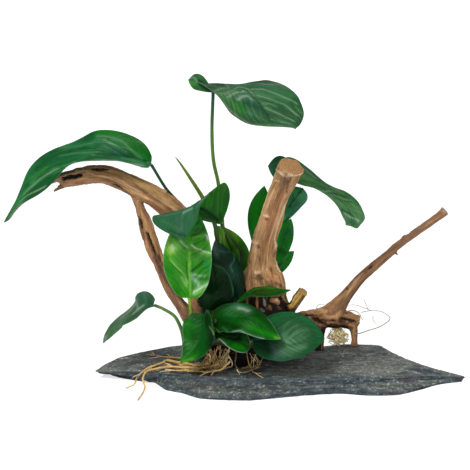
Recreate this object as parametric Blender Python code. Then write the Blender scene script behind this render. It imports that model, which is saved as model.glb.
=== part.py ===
# Anubias on driftwood: a water plant with long leaf stalks, tied to a branched
# piece of driftwood that stands on a flat piece of slate.
#
# Metres, +Z up. The origin is the middle of the slate's flat underside.
# The tables below are in millimetres: x runs along the slate, y away from the
# side that is looked at, and z up.

import math

import bmesh
import bpy
import numpy as np

MM = 0.001
GAP = 0.3                  # clearance between pieces that touch
SLATE_TOP = 13.0           # height of the flat part of the slate's upper face
WOOD_FOOT = SLATE_TOP + GAP
BLADE_THICK = 1.2
BLADE_ROWS = 8             # rows of points from the base of a blade to its tip
BLADE_COLUMNS = 7          # points across a blade
EAR_ROWS = 6
EAR_COLUMNS = 5
TIP_HALF_WIDTH = 0.9       # half of the blunt end that closes a blade's tip
BLADE_BASE = 0.012         # where along its outline a blade starts; 0 would be a point
WOOD_SIDES = 12
STALK_SIDES = 6
ROOT_SIDES = 5

# Slate outline, anticlockwise from the right tip as seen from above:
# x and y on the floor, x and y of the upper rim, height of the upper rim.
SLATE_OUTLINE = [
    (148, -11, 150, -14, 5), (137, -3, 134, -5, 7), (122, 5, 117, 2, 10),
    (106, 18, 102, 16, 12), (95, 33, 92, 30, 13), (87, 45, 85, 43, 13),
    (56, 49, 56, 46, 13), (30, 41, 30, 38, 13), (0, 44, 0, 42, 13),
    (-40, 47, -40, 45, 13), (-84, 46, -84, 43, 13), (-116, 30, -116, 28, 12),
    (-133, 20, -136, 17, 10), (-143, 8, -151, -6, 7), (-131, -3, -131, -12, 9),
    (-112, -12, -108, -18, 10), (-102, -15, -99, -21, 11), (-93, -31, -90, -24, 11),
    (-80, -38, -77, -28, 12), (-64, -51, -62, -34, 13), (-25, -55, -25, -39, 13),
    (14, -45, 14, -39, 13), (46, -40, 46, -37, 13), (70, -44, 69, -34, 12),
    (94, -42, 94, -28, 11), (128, -19, 121, -17, 7),
]
# Bands up the slate's broken edge: share of the rim height, share of the way
# from the floor outline to the rim.
SLATE_BANDS = [(0.0, 0.0), (0.22, -0.06), (0.48, 0.25), (0.56, 0.75), (1.0, 1.0)]
# Rings of the upper face: share of the rim's reach, share of the way up to the flat.
SLATE_RINGS = [(0.90, 0.5), (0.72, 1.0)]

# Driftwood. Each row is a point of the centre line and the radius there.
WOOD = {
    "driftwood_stump": {"rows": 10, "line": [
        (-78, 8, 27, 9), (-64, 8, 32, 16), (-45, 8, 33, 18), (-22, 11, 34, 20),
        (-4, 13, 36, 20), (10, 15, 38, 15), (20, 17, 40, 8)]},
    "driftwood_arch_limb": {"rows": 17, "cut_by": ["driftwood_stump"], "line": [
        (-185, -3, 162, 1.4), (-174, -2, 165.5, 3.6), (-166, -2, 167, 5.4), (-157, -2, 169, 6.8),
        (-140, -2, 170, 7.2),
        (-119, -1, 161, 7.6), (-102, 0, 152, 8), (-85, 1, 138, 9), (-75, 3, 121, 8.6),
        (-71, 4, 102, 8), (-68, 6, 81, 8.6), (-62, 8, 53, 9.6), (-57, 10, 36, 9)]},
    "driftwood_arch_strut": {"rows": 11, "cut_by": ["driftwood_stump", "driftwood_arch_limb"], "line": [
        (-119, -2, 160, 3.2), (-114, -2, 148, 3.6), (-111, -2, 139, 4), (-107, -2, 129, 4.6),
        (-103, -2, 112, 5.8), (-97, -2, 96, 4.6), (-93, -2, 83, 4), (-88, -1, 72, 4.2),
        (-82, 0, 62, 4.4), (-75, 2, 51, 5), (-66, 6, 37, 5)]},
    "driftwood_trunk": {"rows": 13, "cut_by": ["driftwood_stump"], "line": [
        (7, 0.5, 176, 10.2), (3, 2.5, 166, 9.6), (-1.5, 3, 156, 8.7), (-4.5, 3.5, 148, 8.5),
        (-9, 4.5, 131, 9.4), (-13.8, 5.5, 114.5, 10), (-16, 7, 98, 11.3), (-15.3, 7.7, 87, 13.6),
        (-14, 8, 79, 16), (-12, 10, 58, 16), (-12, 11, 44, 14)]},
    "driftwood_stub": {"rows": 6, "cut_by": ["driftwood_stump", "driftwood_trunk"], "line": [
        (-2, 9, 36, 5), (5, 6, 50, 4.4), (13, 4, 64, 3.8), (19, 2, 73, 3.9)]},
    "driftwood_right_root": {"rows": 9, "cut_by": ["driftwood_stump"], "line": [
        (5, 15, 42, 5.5), (14, 20, 44, 4.8), (25, 28, 43, 5.4), (36, 34, 40, 7.4),
        (48, 39, 38, 7.6), (58, 41, 37, 6.4), (68, 42, 35, 4.6)]},
    "driftwood_right_branch": {"rows": 10, "cut_by": ["driftwood_right_root"], "line": [
        (47, 38, 40, 6.6), (52, 38, 51, 6), (58, 38, 60, 5), (67, 38, 72, 4.3),
        (77, 37, 82, 4), (92, 36, 96, 3.5), (100, 35, 104, 3.3), (122, 33, 121, 3.2),
        (132, 32, 129, 3.4), (135, 32, 132, 4)]},
    "driftwood_right_foot": {"rows": 6, "cut_by": ["driftwood_right_root"], "line": [
        (62, 41, 36, 4), (64, 41, 24, 3), (64, 41, 11, 3.2)]},
    "driftwood_middle_foot": {"rows": 6, "cut_by": ["driftwood_right_root"], "line": [
        (36, 33, 38, 4.4), (34, 32, 24, 3.6), (34, 32, 11, 4)]},
}
# Flutes along the wood: how many go round, and their height as a share of the radius.
FLUTES = [(3, 0.07, 0.6), (5, 0.045, 2.1)]

RHIZOMES = {
    "rhizome_front": [
        (-82, -12, 33, 3.6), (-66, -16, 37, 4.6), (-50, -17, 38, 4.8),
        (-34, -17, 37, 4.6), (-20, -16, 35, 3.4)],
    "rhizome_back": [(-37, 33, 44, 3), (-22, 36, 48, 4.2), (-6, 38, 50, 4.4), (11, 37, 49, 3.2)],
}

# Leaves. midrib: the blade's middle line from stalk to tip. width: across both
# halves when flat. widest: how far along the blade is broadest. lobe and lift:
# how far the base reaches back past the stalk and turns up. face: where the
# upper side looks, at the base and at the tip. left, right: how far each half
# folds up, in degrees, from base to tip, with or without values for in between.
# left_width, right_width: how much wider that half is, also from base to tip.
# curl: further bend from the midrib to the margin. ear: a lobe beside the stalk
# that turns up, given as a small blade. stalk: its middle line. radius: the
# stalk's, at the blade and at the root end.
LEAVES = {
    "arching": {
        "midrib": [(-103, -4, 179), (-121, -5, 184), (-145, -9, 186), (-171, -10, 178),
                   (-199, -14, 158), (-219, -14, 134)],
        "width": 53, "widest": 0.5, "lobe": -1,
        "face": [(0.65, -0.4, 0.65), (0.2, 0.05, 1)],
        "left": (12, 41, 26, 17, -30), "right": (67, 1, -14, 21, 18), "curl": -3,
        "left_width": (1.05, 0.95, 0.9, 0.95, 1, 1.1), "right_width": (0.95, 1.2, 1.1, 1.05, 1.05, 1.05),
        "stalk": [(-102, -4, 176.5), (-92, 5, 157), (-79, 13, 139), (-60, 8, 110), (-57.5, 2, 80),
                  (-64, -10, 54), (-67.5, -16, 38)],
        "radius": (1.3, 1.6)},
    "top": {
        "midrib": [(-54, -6, 236), (-39, -25, 240), (-28, -36, 238), (-16, -45, 228), (-6, -52, 221),
                   (8, -63, 217)],
        "width": 68, "widest": 0.62, "lobe": 19, "lift": 6,
        "face": [(0.4, -0.4, 0.85), (0.6, -0.5, 0.65)],
        "left": (21, -6, 26, -1), "right": (17, 1, -1, 11), "curl": -5,
        "left_width": (1.05, 1.05, 1.1, 1.2, 1.25), "right_width": (1, 1.05, 1.05, 1, 0.95),
        "ear": {
            "midrib": [(-51, -8, 236), (-58, -10, 239), (-66, -11, 244), (-73, -11, 246)],
            "width": 13, "widest": 0.72, "lobe": 0,
            "face": [(0, -0.9, 0.4), (-0.1, -1, 0.1)],
            "left": (10, 30), "right": (0, 0), "curl": 0},
        "stalk": [(-54, -6, 234), (-55, -5, 206), (-54, -4, 182), (-50, -2, 161), (-47, 2, 129),
                  (-46, 1, 96), (-48, -2, 68), (-52, -9, 51), (-53, -17, 38)],
        "radius": (1.4, 1.9)},
    "folded": {
        "midrib": [(-48, -21, 134), (-58, -31, 145), (-69, -41, 152), (-76, -49, 149), (-76, -54, 130)],
        "width": 58, "widest": 0.5, "lobe": -1,
        "face": [(-0.1, -1, -0.05), (0.3, -0.85, -0.45), (0.2, -0.05, -1), (0.4, 0.9, -0.25)],
        "left": (-48, -35, 5, -2, 0), "right": (-38, -39, -4, 1, -5), "curl": 7,
        "left_width": (1, 1.2, 1.4, 1.5, 1.55), "right_width": (1.2, 1.15, 0.9, 0.6, 0.55),
        "stalk": [(-47, -19.8, 132.4), (-37, -9, 116), (-32, 1, 102), (-36, 1.5, 75), (-43, -8, 52),
                  (-47, -17, 38)],
        "radius": (1.2, 1.6)},
    "glossy": {
        "midrib": [(-73, -25, 75), (-73, -24, 88), (-74, -27, 105), (-72, -32, 126), (-67, -42, 150)],
        "width": 40, "widest": 0.44, "lobe": 0,
        "face": [(-0.15, -0.9, 0.35), (0, -0.9, 0.4)],
        "left": (-1, 15, 7, 4), "right": (18, 18, 24, -1), "curl": -7,
        "left_width": (1.1, 0.95, 0.9, 1), "right_width": (1, 1, 1, 1.15),
        "stalk": [(-73, -25, 73.5), (-72, -22, 63), (-73, -17, 50), (-74, -14, 35)],
        "radius": (1.5, 1.7)},
    "dark": {
        "midrib": [(-59, -17, 63), (-53, -20, 75), (-53, -14, 86), (-56, -15, 106)],
        "width": 31, "widest": 0.39, "lobe": 1,
        "face": [(0.15, -1, 0), (-0.15, -0.95, 0.3)],
        "left": (-9, 2, 5, 5), "right": (-30, -1, 16, 13), "curl": -15,
        "left_width": (0.9, 1, 1.05, 1.05), "right_width": (1.05, 1.05, 0.9, 0.85),
        "stalk": [(-59, -17, 61.5), (-57, -16, 53), (-56, -17, 38)],
        "radius": (1.3, 1.5)},
    "shaded": {
        "midrib": [(-36, -9, 68), (-39, -10, 85), (-43, -7, 100), (-53, -6, 117)],
        "width": 23, "widest": 0.43, "lobe": 0,
        "face": [(0.3, -0.85, 0.35), (0.2, -0.9, 0.4)],
        "left": (5, 5, 5, 5), "right": (-7, -13, -23, -18), "curl": -22,
        "right_width": (0.95, 0.95, 0.95, 1),
        "stalk": [(-36, -9, 66.5), (-40, -13, 56), (-42, -17, 38)],
        "radius": (1.3, 1.5)},
    "low_left": {
        "midrib": [(-61, -24, 61), (-62, -29, 53), (-66, -34, 40), (-80, -41, 26)],
        "width": 32, "widest": 0.38, "lobe": 1,
        "face": [(-0.35, -0.45, 0.85), (-0.2, -0.7, 0.7)],
        "left": (51, 12, 5, 15), "right": (24, 14, 11, -3), "curl": 1,
        "left_width": (0.95, 1, 1, 0.95), "right_width": (1.15, 1.05, 1, 0.95),
        "stalk": [(-60.3, -23, 60), (-62.5, -21, 50), (-63, -17, 38)],
        "radius": (1.2, 1.4)},
    "low_middle": {
        "midrib": [(-51, -24, 56), (-39, -32, 61), (-22, -41, 61), (-1, -46, 48)],
        "width": 34, "widest": 0.47, "lobe": 5,
        "face": [(0.3, -0.8, 0.55), (0.65, -0.5, 0.6)],
        "left": (29, -12, -15, 2), "right": (15, 22, 18, -11), "curl": -16,
        "left_width": (0.95, 0.95, 0.95, 1), "right_width": (1, 1, 1, 1.05),
        "stalk": [(-51.5, -23, 54.5), (-54, -22, 46), (-54, -17, 38)],
        "radius": (1.3, 1.5)},
    "low_small": {
        "midrib": [(-54, -26, 46), (-45, -30, 44), (-35, -40, 44), (-25, -36, 38)],
        "width": 24, "widest": 0.57, "lobe": 0,
        "face": [(0.3, -0.55, 0.75), (0.5, -0.7, 0.5)],
        "left": (2, 7, 7, 23), "right": (8, 20, 21, 16), "curl": 0,
        "left_width": (1, 1, 1, 1.1), "right_width": (1, 1, 1, 1.1),
        "stalk": [(-55, -25.5, 45.5), (-54, -23, 40), (-51, -17, 38)],
        "radius": (1.0, 1.2)},
    "low_right": {
        "midrib": [(-22, -27, 40), (-5, -32, 44), (16, -34, 46), (34, -30, 43)],
        "width": 41, "widest": 0.47, "lobe": 1,
        "face": [(0, -0.85, 0.5), (0.1, -0.9, 0.4)],
        "left": (4, 6, 16, 27), "right": (-3, 17, 21, 17), "curl": 7,
        "left_width": (1, 1, 0.95, 1), "right_width": (1.05, 1, 1, 1),
        "stalk": [(-23.5, -26.5, 39.7), (-27, -24, 39), (-32, -17, 37)],
        "radius": (1.3, 1.5)},
    "olive": {
        "midrib": [(-30, 19, 84), (-36, 21, 98), (-44, 19, 110), (-54, 20, 123)],
        "width": 23, "widest": 0.47, "lobe": 0,
        "face": [(0, -0.8, 0.6), (0.05, -0.8, 0.6)],
        "left": (8, 17, 18, -3), "right": (7, 7, 2, 4), "curl": 8,
        "left_width": (0.9, 0.75, 0.8, 1.15), "right_width": (1.1, 1, 0.9, 1.15),
        "stalk": [(-30, 20, 84), (-29, 25, 71), (-30, 30, 58), (-32, 34, 45)],
        "radius": (1.2, 1.5)},
    "narrow": {
        "midrib": [(-33, -14, 69), (-23, -19, 77), (-8, -25, 81), (7, -23, 81)],
        "width": 23, "widest": 0.46, "lobe": 2,
        "face": [(0.1, -0.25, 0.95), (0.1, -0.1, 1)],
        "left": (15, 1, 7, -17), "right": (14, 15, -2, -6), "curl": -5,
        "right_width": (1, 1, 1.05, 1.05),
        "stalk": [(-34, -13, 68), (-35, -13, 57), (-36, -17, 38)],
        "radius": (1.1, 1.4)},
    "back_left": {
        "midrib": [(-13, 35, 93), (-15, 36, 111), (-16, 35, 133), (-13, 34, 153)],
        "width": 23, "widest": 0.5, "lobe": 3,
        "face": [(-0.15, -0.95, 0.3), (0, -0.95, 0.3)],
        "left": (-3, -3, 0, 0), "right": (0, 0, 0, 0), "curl": -13,
        "left_width": (0.95, 0.95, 0.95, 0.95),
        "stalk": [(-13, 36, 91.5), (-18, 38, 75), (-20, 37, 49)],
        "radius": (1.2, 1.5)},
    "drooping": {
        "midrib": [(3, 40, 162), (14, 36, 164), (28, 30, 157), (45, 22, 147), (58, 16, 132),
                   (62, 14, 122)],
        "width": 51, "widest": 0.52, "lobe": 2,
        "face": [(0.75, -0.55, 0.3), (-0.35, 0.05, 0.95)],
        "left": (10, -23, -35, 8, 16), "right": (10, 9, 42, 46, -4), "curl": -13,
        "left_width": (1.15, 1.05, 0.95, 1, 1.15), "right_width": (1, 1.05, 1.05, 1, 1.15),
        "ear": {
            "midrib": [(13, 39, 164), (1, 38, 167), (-10, 37, 169)],
            "width": 20, "widest": 0.6, "lobe": 0,
            "face": [(-0.1, -0.9, 0.4), (-0.1, -0.9, 0.4)],
            "left": (0, 0), "right": (0, 0), "curl": 0},
        "stalk": [(3, 41, 161), (-1, 43, 140), (-4, 43, 108), (-5, 42, 75), (-6, 38, 52)],
        "radius": (1.4, 1.7)},
    "back_blue": {
        "midrib": [(0, 34, 117), (3, 32, 128), (9, 31, 139), (18, 25, 153)],
        "width": 24, "widest": 0.67, "lobe": 2,
        "face": [(0.05, -1, 0.1), (0.2, -0.95, 0.25)],
        "left": (1, 0, -6, -13), "right": (-2, -12, -18, -13), "curl": -29,
        "left_width": (1, 0.95, 0.9, 0.95), "right_width": (1, 0.95, 0.95, 1.1),
        "stalk": [(0.5, 36, 114.5), (1.5, 39, 100), (1, 43, 82), (1, 38, 50)],
        "radius": (1.2, 1.5)},
    "back_right": {
        "midrib": [(-8, 32, 86), (0, 32, 100), (4, 31, 113), (9, 31, 126)],
        "width": 19, "widest": 0.52, "lobe": 1,
        "face": [(0.3, -0.95, 0.2), (0.3, -0.95, 0.2)],
        "left": (2, 5, 5, -2), "right": (2, -5, -5, 2), "curl": -12,
        "left_width": (1, 0.95, 0.95, 1), "right_width": (1, 0.95, 0.95, 1.05),
        "stalk": [(-8.6, 32.4, 84.6), (1, 33.5, 69), (8, 36.5, 49)],
        "radius": (1.1, 1.4)},
    "back_small": {
        "midrib": [(-10, 38, 71), (-4, 38, 80), (3, 38, 88), (12, 37, 97)],
        "width": 13, "widest": 0.54, "lobe": 1,
        "face": [(0.25, -0.85, 0.35), (0.25, -0.85, 0.35)],
        "left": (5, 5), "right": (0, 0), "curl": -10,
        "stalk": [(-11, 38.5, 69.5), (-13, 39, 62), (-14, 37.5, 50)],
        "radius": (1.1, 1.3)},
    "bottom_left": {
        "midrib": [(-102, -18, 66.5), (-107, -20, 68), (-114, -20, 62), (-128, -19, 52), (-142, -27, 38.5)],
        "width": 37, "widest": 0.38, "lobe": 1,
        "face": [(-0.35, -0.25, 0.9), (-0.55, -0.05, 0.85)],
        "left": (20, 11, 23, 0), "right": (56, -11, -13, 27), "curl": -7,
        "right_width": (0.7, 1.15, 1.15, 1.05, 1.05),
        "stalk": [(-100, -17.6, 66.2), (-94, -19, 64), (-85, -20, 58), (-80, -17, 46), (-78, -13, 34)],
        "radius": (1.3, 1.6)},
}
YOUNG_LEAF = [
    (-84, -3, 184, 0.6), (-72, -2, 166, 1.2), (-62, 0, 149, 1.6), (-52.8, 2, 127, 1.8),
    (-51.2, 1, 108, 1.8), (-53, -4, 80, 1.9), (-59, -12, 53, 1.9), (-60, -16, 39, 1.9)]

# Roots on the slate and under the right arch: middle line, and the radius at
# the thick end and at the tip.
ROOTS = {
    "root_left": {"radius": (1.6, 0.7), "line": [
        (-70, -15, 18), (-78, -6, 15), (-92, 2, 14.8), (-98, -8, 14.6),
        (-110, -18, 12), (-115, -22, 8), (-117, -25, 2.4), (-124, -30, 1.2)]},
    "root_hanging": {"radius": (1.3, 0.6), "line": [
        (-70, -20, 17), (-80, -18, 14.8), (-92, -16, 14.6), (-107, -23, 12),
        (-110, -27, 6), (-109, -37, 1.6), (-113, -56, 1)]},
    "root_side": {"radius": (1.0, 0.5), "line": [
        (-79, 4, 14.6), (-92, 9, 14.4), (-103, 13, 14.2), (-111, 18, 13.8)]},
    "root_curved": {"radius": (1.3, 0.7), "line": [
        (-44, -27, 18), (-52, -29, 15), (-64, -27, 14.8), (-80, -24, 14.4)]},
    "root_arc": {"radius": (1.0, 0.6), "line": [
        (-36, -26, 30), (-36, -28, 17), (-29, -29, 14.5), (-20, -25, 16), (-14, -20, 24)]},
    "root_short": {"radius": (1.0, 0.5), "line": [
        (-28, -23, 30), (-26, -26, 22), (-24, -31, 14.5), (-14, -35, 14.2)]},
    "root_wiry_loop": {"radius": (0.6, 0.4), "line": [
        (63, 36, 25), (75, 36, 28), (85, 36, 32), (93, 36, 37), (92, 36, 42),
        (84, 37, 45), (76, 38, 45), (73, 39, 50), (71, 40, 55)]},
    "root_wiry_short": {"radius": (0.6, 0.4), "line": [
        (56, 32, 46), (62, 31, 47), (67, 32, 44), (70, 34, 38)]},
}
# The felt of fine roots: on the slate under the plant, and under the right arch.
ROOT_FELTS = {
    "root_felt": [
        (-66, -18, 17.4, 3.4), (-52, -19, 19.4, 5.2), (-40, -19, 19.4, 5.2), (-28, -18, 17.4, 3.4)],
    "root_clump": [(44, 36, 19, 4), (50, 38, 21.5, 6.5), (56, 39, 20, 5)],
}

COLOURS = {
    "slate": (0.075, 0.095, 0.095), "wood": (0.27, 0.13, 0.055), "rhizome": (0.10, 0.14, 0.03),
    "leaf": (0.02, 0.13, 0.02), "stalk": (0.06, 0.17, 0.02), "root": (0.42, 0.26, 0.09),
}
ROUGHNESS = {"slate": 0.75, "wood": 0.7, "rhizome": 0.6, "leaf": 0.35, "stalk": 0.4, "root": 0.7}


def clear_scene():
    for thing in list(bpy.data.objects):
        bpy.data.objects.remove(thing, do_unlink=True)


def finish(name):
    """The material of one kind of piece, made once."""
    if name in bpy.data.materials:
        return bpy.data.materials[name]
    made = bpy.data.materials.new(name)
    made.use_nodes = True
    shader = made.node_tree.nodes["Principled BSDF"]
    shader.inputs["Base Color"].default_value = (*COLOURS[name], 1.0)
    shader.inputs["Roughness"].default_value = ROUGHNESS[name]
    made.diffuse_color = (*COLOURS[name], 1.0)
    return made


def add_object(name, points, faces, material, smooth=True):
    """A closed mesh object from points in millimetres."""
    mesh = bpy.data.meshes.new(name)
    mesh.from_pydata([tuple(float(c) * MM for c in p) for p in points], [], faces)
    mesh.validate()
    work = bmesh.new()
    work.from_mesh(mesh)
    bmesh.ops.recalc_face_normals(work, faces=work.faces)
    work.to_mesh(mesh)
    work.free()
    if smooth:
        mesh.shade_smooth()
        mesh.set_sharp_from_angle(angle=math.radians(50))
    made = bpy.data.objects.new(name, mesh)
    mesh.materials.append(finish(material))
    bpy.context.scene.collection.objects.link(made)
    return made


def unit(v):
    return v / np.linalg.norm(v, axis=-1, keepdims=True)


def smooth_line(points, count):
    """count points, evenly spaced, on a smooth curve through the given points."""
    p = np.array(points, float)
    p = np.vstack([2 * p[0] - p[1], p, 2 * p[-1] - p[-2]])
    t = np.linspace(0, 1, 17)[:-1, None]
    dense = []
    for a, b, c, d in zip(p[:-3], p[1:-2], p[2:-1], p[3:]):
        dense.append(b + 0.5 * t * (c - a + t * (2 * a - 5 * b + 4 * c - d + t * (3 * (b - c) + d - a))))
    dense = np.vstack(dense + [p[-2:-1]])
    run = np.concatenate([[0], np.cumsum(np.linalg.norm(np.diff(dense[:, :3], axis=0), axis=1))])
    wanted = np.linspace(0, run[-1], count)
    return np.stack([np.interp(wanted, run, column) for column in dense.T], 1)


def tube_mesh(line, sides, flutes=(), grow=0.0):
    """Points and faces of a closed tube along line, whose fourth column is the radius."""
    line = np.asarray(line, float)
    along = unit(np.gradient(line[:, :3], axis=0))
    side = unit(np.cross(along[0], (0.31, 0.87, 0.38)))
    points = []
    for place, direction in zip(line, along):
        side = unit(side - direction * (side @ direction))
        other = np.cross(direction, side)
        for k in range(sides):
            angle = 2 * math.pi * k / sides
            wave = sum(h * math.sin(n * angle + phase) for n, h, phase in flutes)
            radius = place[3] * (1 + wave) + grow
            points.append(place[:3] + radius * (math.cos(angle) * side + math.sin(angle) * other))
    rows = len(line)
    faces = [tuple(range(sides))[::-1], tuple(range((rows - 1) * sides, rows * sides))]
    for i in range(rows - 1):
        for k in range(sides):
            j = (k + 1) % sides
            faces.append((i * sides + k, i * sides + j, (i + 1) * sides + j, (i + 1) * sides + k))
    return points, faces


def hide(helper):
    """Keeps a solid that only shapes others out of the render."""
    helper.hide_render = True
    helper.display_type = "WIRE"
    return helper


def cutter_of(name, line, sides, flutes=()):
    """A hidden copy of a tube, larger by the gap, for cutting back what meets it."""
    grown = tube_mesh(line, sides, flutes, grow=GAP)
    return hide(add_object(name + "_cutter", *grown, "wood", smooth=False))


def slab_cutter(name, height):
    """A hidden block that fills everything below a height."""
    reach = 300
    points = [(x, y, z) for x in (-reach, reach) for y in (-reach, reach) for z in (-reach, height)]
    faces = [(0, 1, 3, 2), (4, 6, 7, 5), (0, 4, 5, 1), (2, 3, 7, 6), (0, 2, 6, 4), (1, 5, 7, 3)]
    return hide(add_object(name, points, faces, "wood", smooth=False))


def combine(piece, other, operation):
    """Takes a hidden solid's space out of the piece, or adds it."""
    boolean = piece.modifiers.new(other.name, "BOOLEAN")
    boolean.operation = operation
    boolean.solver = "EXACT"
    boolean.object = other


def make_slate():
    chips = np.random.default_rng(7)
    foot = np.array([row[:2] for row in SLATE_OUTLINE], float)
    rim = np.array([row[2:4] for row in SLATE_OUTLINE], float)
    height = np.array([row[4] for row in SLATE_OUTLINE], float)
    rings = []
    for level, inward in SLATE_BANDS:
        ring = np.column_stack([foot + (rim - foot) * inward, height * level])
        ring[:, :2] += chips.uniform(-0.5, 0.5, (len(ring), 2))
        rings.append(ring)
    for reach, rise in SLATE_RINGS:
        rings.append(np.column_stack([rim * reach, height + (SLATE_TOP - height) * rise]))
    count = len(foot)
    faces = [tuple(range(count))[::-1], tuple(range((len(rings) - 1) * count, len(rings) * count))]
    for i in range(len(rings) - 1):
        for k in range(count):
            j = (k + 1) % count
            faces.append((i * count + k, i * count + j, (i + 1) * count + j, (i + 1) * count + k))
    add_object("slate_base", np.vstack(rings), faces, "slate", smooth=False)


def make_wood():
    floor = slab_cutter("slate_cutter", WOOD_FOOT)
    lines = {name: smooth_line(wood["line"], wood["rows"]) for name, wood in WOOD.items()}
    hosts = {host for wood in WOOD.values() for host in wood.get("cut_by", [])}
    cutters = {host: cutter_of(host, lines[host], WOOD_SIDES, FLUTES) for host in sorted(hosts)}
    for name, wood in WOOD.items():
        piece = add_object(name, *tube_mesh(lines[name], WOOD_SIDES, FLUTES), "wood")
        for host in wood.get("cut_by", []):
            combine(piece, cutters[host], "DIFFERENCE")
        if lines[name][:, 2].min() < WOOD_FOOT + lines[name][:, 3].max():
            combine(piece, floor, "DIFFERENCE")



def between(values, t):
    """Runs smoothly from the first value to the last; those between pull the run aside."""
    last = len(values) - 1
    shares = np.array([math.comb(last, k) * t ** k * (1 - t) ** (last - k) for k in range(last + 1)])
    return shares.T @ np.array(values, float)


def blade_surface(leaf, rows, columns):
    """The blade's middle surface: an array of rows by columns of points."""
    fine = smooth_line(leaf["midrib"], 121)
    u = np.linspace(0, 1, rows)
    t = 0.5 * u + 0.25 * (1 - np.cos(math.pi * u))  # closer rows at both ends
    place = np.stack([np.interp(t, np.linspace(0, 1, 121), column) for column in fine.T], 1)
    slope = unit(np.gradient(fine, axis=0))
    along = unit(np.stack([np.interp(t, np.linspace(0, 1, 121), column) for column in slope.T], 1))
    up = between(leaf["face"], t)
    up = unit(up - along * (up * along).sum(1, keepdims=True))
    across = np.cross(along, up)
    power = math.log(0.5) / math.log(leaf["widest"])
    outline = np.clip((BLADE_BASE + (1 - BLADE_BASE) * t) ** power, 0, 1)
    swell = np.sin(math.pi * outline) ** (0.45 + 0.4 * t)
    grid = []
    for s in np.linspace(-1, 1, columns):
        reach = abs(s)
        side = "right" if s > 0 else "left"
        wider = between(leaf.get(side + "_width", (1, 1)), t)
        half = np.maximum(leaf["width"] / 2 * swell * wider, TIP_HALF_WIDTH)
        angle = np.radians(between(leaf[side], t))
        bend = math.radians(leaf["curl"]) * reach / 2
        span = half * reach * np.sinc(bend / math.pi)
        aside = math.copysign(1, s) * span * np.cos(angle + bend)
        rise = span * np.sin(angle + bend)
        back = leaf["lobe"] * (1 - t) ** 3 * reach ** 1.5
        lift = leaf.get("lift", 0) * (1 - t) ** 3 * reach
        grid.append(place + across * aside[:, None] + up * (rise + lift)[:, None] - along * back[:, None])
    return np.stack(grid, 1)


def blade_mesh(leaf, rows, columns):
    """Points and faces of a blade: its middle surface, thickened both ways."""
    middle = blade_surface(leaf, rows, columns)
    normal = unit(np.cross(np.gradient(middle, axis=1), np.gradient(middle, axis=0)))
    points = np.vstack([(middle + normal * BLADE_THICK / 2).reshape(-1, 3),
                        (middle - normal * BLADE_THICK / 2).reshape(-1, 3)])
    under = rows * columns
    faces = []
    for i in range(rows - 1):
        for k in range(columns - 1):
            a = i * columns + k
            quad = (a, a + 1, a + columns + 1, a + columns)
            faces.append(quad)
            faces.append(tuple(under + c for c in quad[::-1]))
    rim = list(range(columns))
    rim += [i * columns + columns - 1 for i in range(1, rows)]
    rim += [(rows - 1) * columns + k for k in range(columns - 2, -1, -1)]
    rim += [i * columns for i in range(rows - 2, 0, -1)]
    for a, b in zip(rim, rim[1:] + rim[:1]):
        faces.append((b, a, under + a, under + b))
    return points, faces


def with_radius(line, radius, count):
    """A smooth line of count points whose radius runs evenly from one value to the other."""
    route = smooth_line(line, count)
    return np.column_stack([route, np.linspace(radius[0], radius[1], count)])


def make_plant():
    cutters = []
    for name, line in RHIZOMES.items():
        route = smooth_line(line, 7)
        add_object(name, *tube_mesh(route, 8), "rhizome")
        cutters.append(cutter_of(name, route, 8))
    stalks = {}
    for name, leaf in LEAVES.items():
        blade = add_object("leaf_" + name, *blade_mesh(leaf, BLADE_ROWS, BLADE_COLUMNS), "leaf")
        if "ear" in leaf:
            lobe = blade_mesh(leaf["ear"], EAR_ROWS, EAR_COLUMNS)
            ear = hide(add_object(name + "_ear", *lobe, "leaf"))
            combine(blade, ear, "UNION")
        rows = 2 + 3 * len(leaf["stalk"]) // 2
        stalks["stalk_" + name] = with_radius(leaf["stalk"], leaf["radius"], rows)
    stalks["young_leaf_rolled"] = smooth_line(YOUNG_LEAF, 12)
    for name, route in stalks.items():
        stalk = add_object(name, *tube_mesh(route, STALK_SIDES), "stalk")
        root_end = route[-1, :3]
        near = min(zip(RHIZOMES.values(), cutters), key=lambda pair: min(
            np.linalg.norm(np.array(p[:3]) - root_end) for p in pair[0]))
        combine(stalk, near[1], "DIFFERENCE")


def make_roots():
    for name, root in ROOTS.items():
        route = with_radius(root["line"], root["radius"], 1 + 3 * len(root["line"]) // 2)
        add_object(name, *tube_mesh(route, ROOT_SIDES), "root")
    for name, line in ROOT_FELTS.items():
        add_object(name, *tube_mesh(smooth_line(line, 7), 8, FLUTES), "root")


def main():
    clear_scene()
    make_slate()
    make_wood()
    make_plant()
    make_roots()


main()
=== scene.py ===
# Anubias on driftwood: a planted piece of wood on slate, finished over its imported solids.
# Blender works in metres; the tables here are in millimetres.
import math

import bpy
import numpy as np
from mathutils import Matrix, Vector, noise


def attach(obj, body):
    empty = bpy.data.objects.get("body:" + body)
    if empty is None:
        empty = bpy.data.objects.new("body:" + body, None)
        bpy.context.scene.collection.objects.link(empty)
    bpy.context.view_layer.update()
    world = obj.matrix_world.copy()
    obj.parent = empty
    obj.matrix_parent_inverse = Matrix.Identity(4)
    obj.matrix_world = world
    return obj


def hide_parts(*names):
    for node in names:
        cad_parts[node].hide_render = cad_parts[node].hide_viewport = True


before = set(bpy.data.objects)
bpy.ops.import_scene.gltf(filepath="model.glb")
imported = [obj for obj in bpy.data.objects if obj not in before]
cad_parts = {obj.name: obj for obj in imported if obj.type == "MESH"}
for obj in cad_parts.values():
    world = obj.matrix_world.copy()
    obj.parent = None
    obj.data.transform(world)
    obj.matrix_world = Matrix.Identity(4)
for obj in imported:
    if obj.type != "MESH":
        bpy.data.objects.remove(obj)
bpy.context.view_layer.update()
mm = 0.001


def unit(v):
    return v / np.maximum(np.linalg.norm(v, axis=-1, keepdims=True), 1e-9)


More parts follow.
